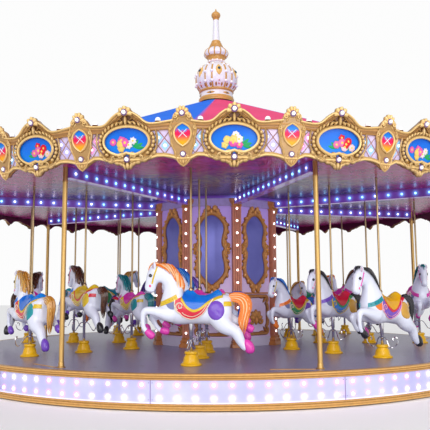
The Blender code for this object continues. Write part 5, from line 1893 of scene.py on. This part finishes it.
GREEN = ((0.01, 0.22, 0.07), (0.03, 0.36, 0.12))
ORANGE = ((0.78, 0.13, 0.01), (0.9, 0.26, 0.03))
CREAM = ((0.8, 0.6, 0.42), (0.88, 0.78, 0.66))
BLACK = ((0.008, 0.008, 0.01), (0.03, 0.03, 0.035))
MAUVE = ((0.16, 0.19, 0.38), (0.24, 0.27, 0.48))
SUN_YELLOW = ((0.72, 0.34, 0.002), (0.92, 0.56, 0.005))
OCHRE = ((0.5, 0.25, 0.03), (0.68, 0.38, 0.06))
PALE_PINK = ((0.78, 0.26, 0.4), (0.85, 0.42, 0.52))


def tack(hair, hooves, saddle, trim, cloth_colour, piping, disc, collar, bridle, drape=MAUVE,
        crupper=YELLOW):
    """One horse's colours, part by part."""
    same = {part: (shade, shade) for part, shade in PLAIN.items()}
    return dict(same, mane=hair, tail=hair, hooves=hooves, saddle=saddle, trim=trim, cloth=cloth_colour,
        piping=piping, disc=disc, collar=collar, bridle=bridle, drape=drape, crupper=crupper)


TACKS = {
    "outer_8": tack(ORANGE_HAIR, MAGENTA, SKY_BLUE, YELLOW, RED, CREAM, VIOLET_PAINT, YELLOW, YELLOW),
    "outer_1": tack(BLACK_HAIR, BLACK, SUN_YELLOW, RED, VIOLET_PAINT, PALE_PINK, OCHRE, TEAL, MAGENTA,
        ORANGE, OCHRE),
    "middle_1": tack(BLACK_HAIR, MAGENTA, RED, GREEN, SKY_BLUE, YELLOW, OCHRE, VIOLET_PAINT, PALE_PINK),
    "inner_1": tack(BLUE_HAIR, ORANGE, RED, YELLOW, GREEN, CREAM, VIOLET_PAINT, ORANGE, YELLOW),
    "outer_7": tack(GOLDEN_HAIR, VIOLET_PAINT, SKY_BLUE, YELLOW, RED, CREAM, TEAL, SKY_BLUE, YELLOW,
        SKY_BLUE),
    "middle_7": tack(BROWN_HAIR, BLACK, YELLOW, RED, YELLOW, CREAM, YELLOW, SKY_BLUE, RED, RED, RED),
    "inner_7": tack(TEAL_HAIR, MAGENTA, MAGENTA, YELLOW, YELLOW, CREAM, TEAL, MAGENTA, MAGENTA),
    "middle_8": tack(BLUE_HAIR, MAGENTA, MAGENTA, YELLOW, VIOLET_PAINT, CREAM, YELLOW, VIOLET_PAINT,
        MAGENTA),
    "inner_8": tack(PURPLE_HAIR, ORANGE, SKY_BLUE, YELLOW, GREEN, CREAM, MAGENTA, YELLOW, TEAL),
    "outer_6": tack(BROWN_HAIR, BLACK, MAGENTA, YELLOW, TEAL, CREAM, ORANGE, MAGENTA, RED),
    "middle_6": tack(TEAL_HAIR, VIOLET_PAINT, TEAL, YELLOW, MAGENTA, CREAM, SKY_BLUE, TEAL, MAGENTA),
    "inner_6": tack(BLACK_HAIR, BLACK, RED, YELLOW, SKY_BLUE, CREAM, YELLOW, RED, YELLOW),
    "outer_5": tack(GOLDEN_HAIR, ORANGE, TEAL, YELLOW, MAGENTA, CREAM, GREEN, ORANGE, TEAL),
    "middle_5": tack(PURPLE_HAIR, MAGENTA, YELLOW, PALE_PINK, SKY_BLUE, CREAM, RED, VIOLET_PAINT, YELLOW),
    "inner_5": tack(ORANGE_HAIR, VIOLET_PAINT, GREEN, YELLOW, RED, CREAM, SKY_BLUE, GREEN, RED),
}
ORDER = list(TACKS)


def horse_colours(ring, row):
    """The set that the photo shows for this horse, or the next one round the list."""
    name = f"{ring}_{row}"
    step = 3 * row + 5 * list(RINGS).index(ring)
    return TACKS.get(name, TACKS[ORDER[step % len(ORDER)]])


def make_horses():
    """Paint the mould for each of the 24 horses and set it on its pole, shaft and footrests."""
    mould = horse_mould()
    for ring, seat in RINGS.items():
        size = seat["size"]
        low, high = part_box(f"horse_{ring}_1")
        length = high.z - low.z
        pole = lathe([(0.002, 0.4), (0.0145, 0.4), (0.0145, length - 0.061), (0.013, length - 0.06),
            (0.002, length - 0.06)], 12, slot=1)
        saddle_top = BELLY + 0.415 * size
        collar = lathe([(0.012, saddle_top - 0.01), (0.03, saddle_top - 0.01), (0.028, saddle_top + 0.008),
            (0.02, saddle_top + 0.022), (0.012, saddle_top + 0.024)], 12, slot=1)
        shaft = lathe(mm((2, -60), (18, -60), (19.5, -56), (19.5, 375), (24.5, 380), (24.5, 470),
            (28.5, 480), (28.5, 560), (2, 560)), 12, slot=2)
        metalwork = join(pole, collar, shaft, footrests(size))
        for row, angle in enumerate(ROW_ANGLES, start=1):
            node = f"horse_{ring}_{row}"
            colours = horse_colours(ring, row)
            painted = []
            for part, skin in mould.items():
                dark, light = colours[part]
                painted.append(skin.tinted(blend_tint(dark, light, skin.tints[:, 0])))
            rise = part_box(node)[1].z - (length - 0.06)
            place = at(angle, seat["radius"], rise)
            animal = join(*painted).moved(place @ shift(0.0, 0.0, BELLY) @ sized(size))
            piece(f"{node}_dressed", join(animal, metalwork.moved(place)), [HORSE_GLOSS, BRASS, CHROME],
                node, [node], crease=50.0)


def dress_frame():
    """Give the CAD nodes that stay their finishes."""
    for name, finish in (("ground_frame", STEEL), ("slewing_bearing", STEEL), ("centre_mast", STEEL),
            ("ceiling", make_ceiling_finish())):
        for place in frame["nodes"][name].material_slots:
            place.material = finish


place_camera()
make_floor()
make_light()
dress_frame()
make_deck()
make_stands()
make_skirt()
make_posts()
make_beams()
make_core()
make_cornice()
make_roof()
make_finial()
make_horses()
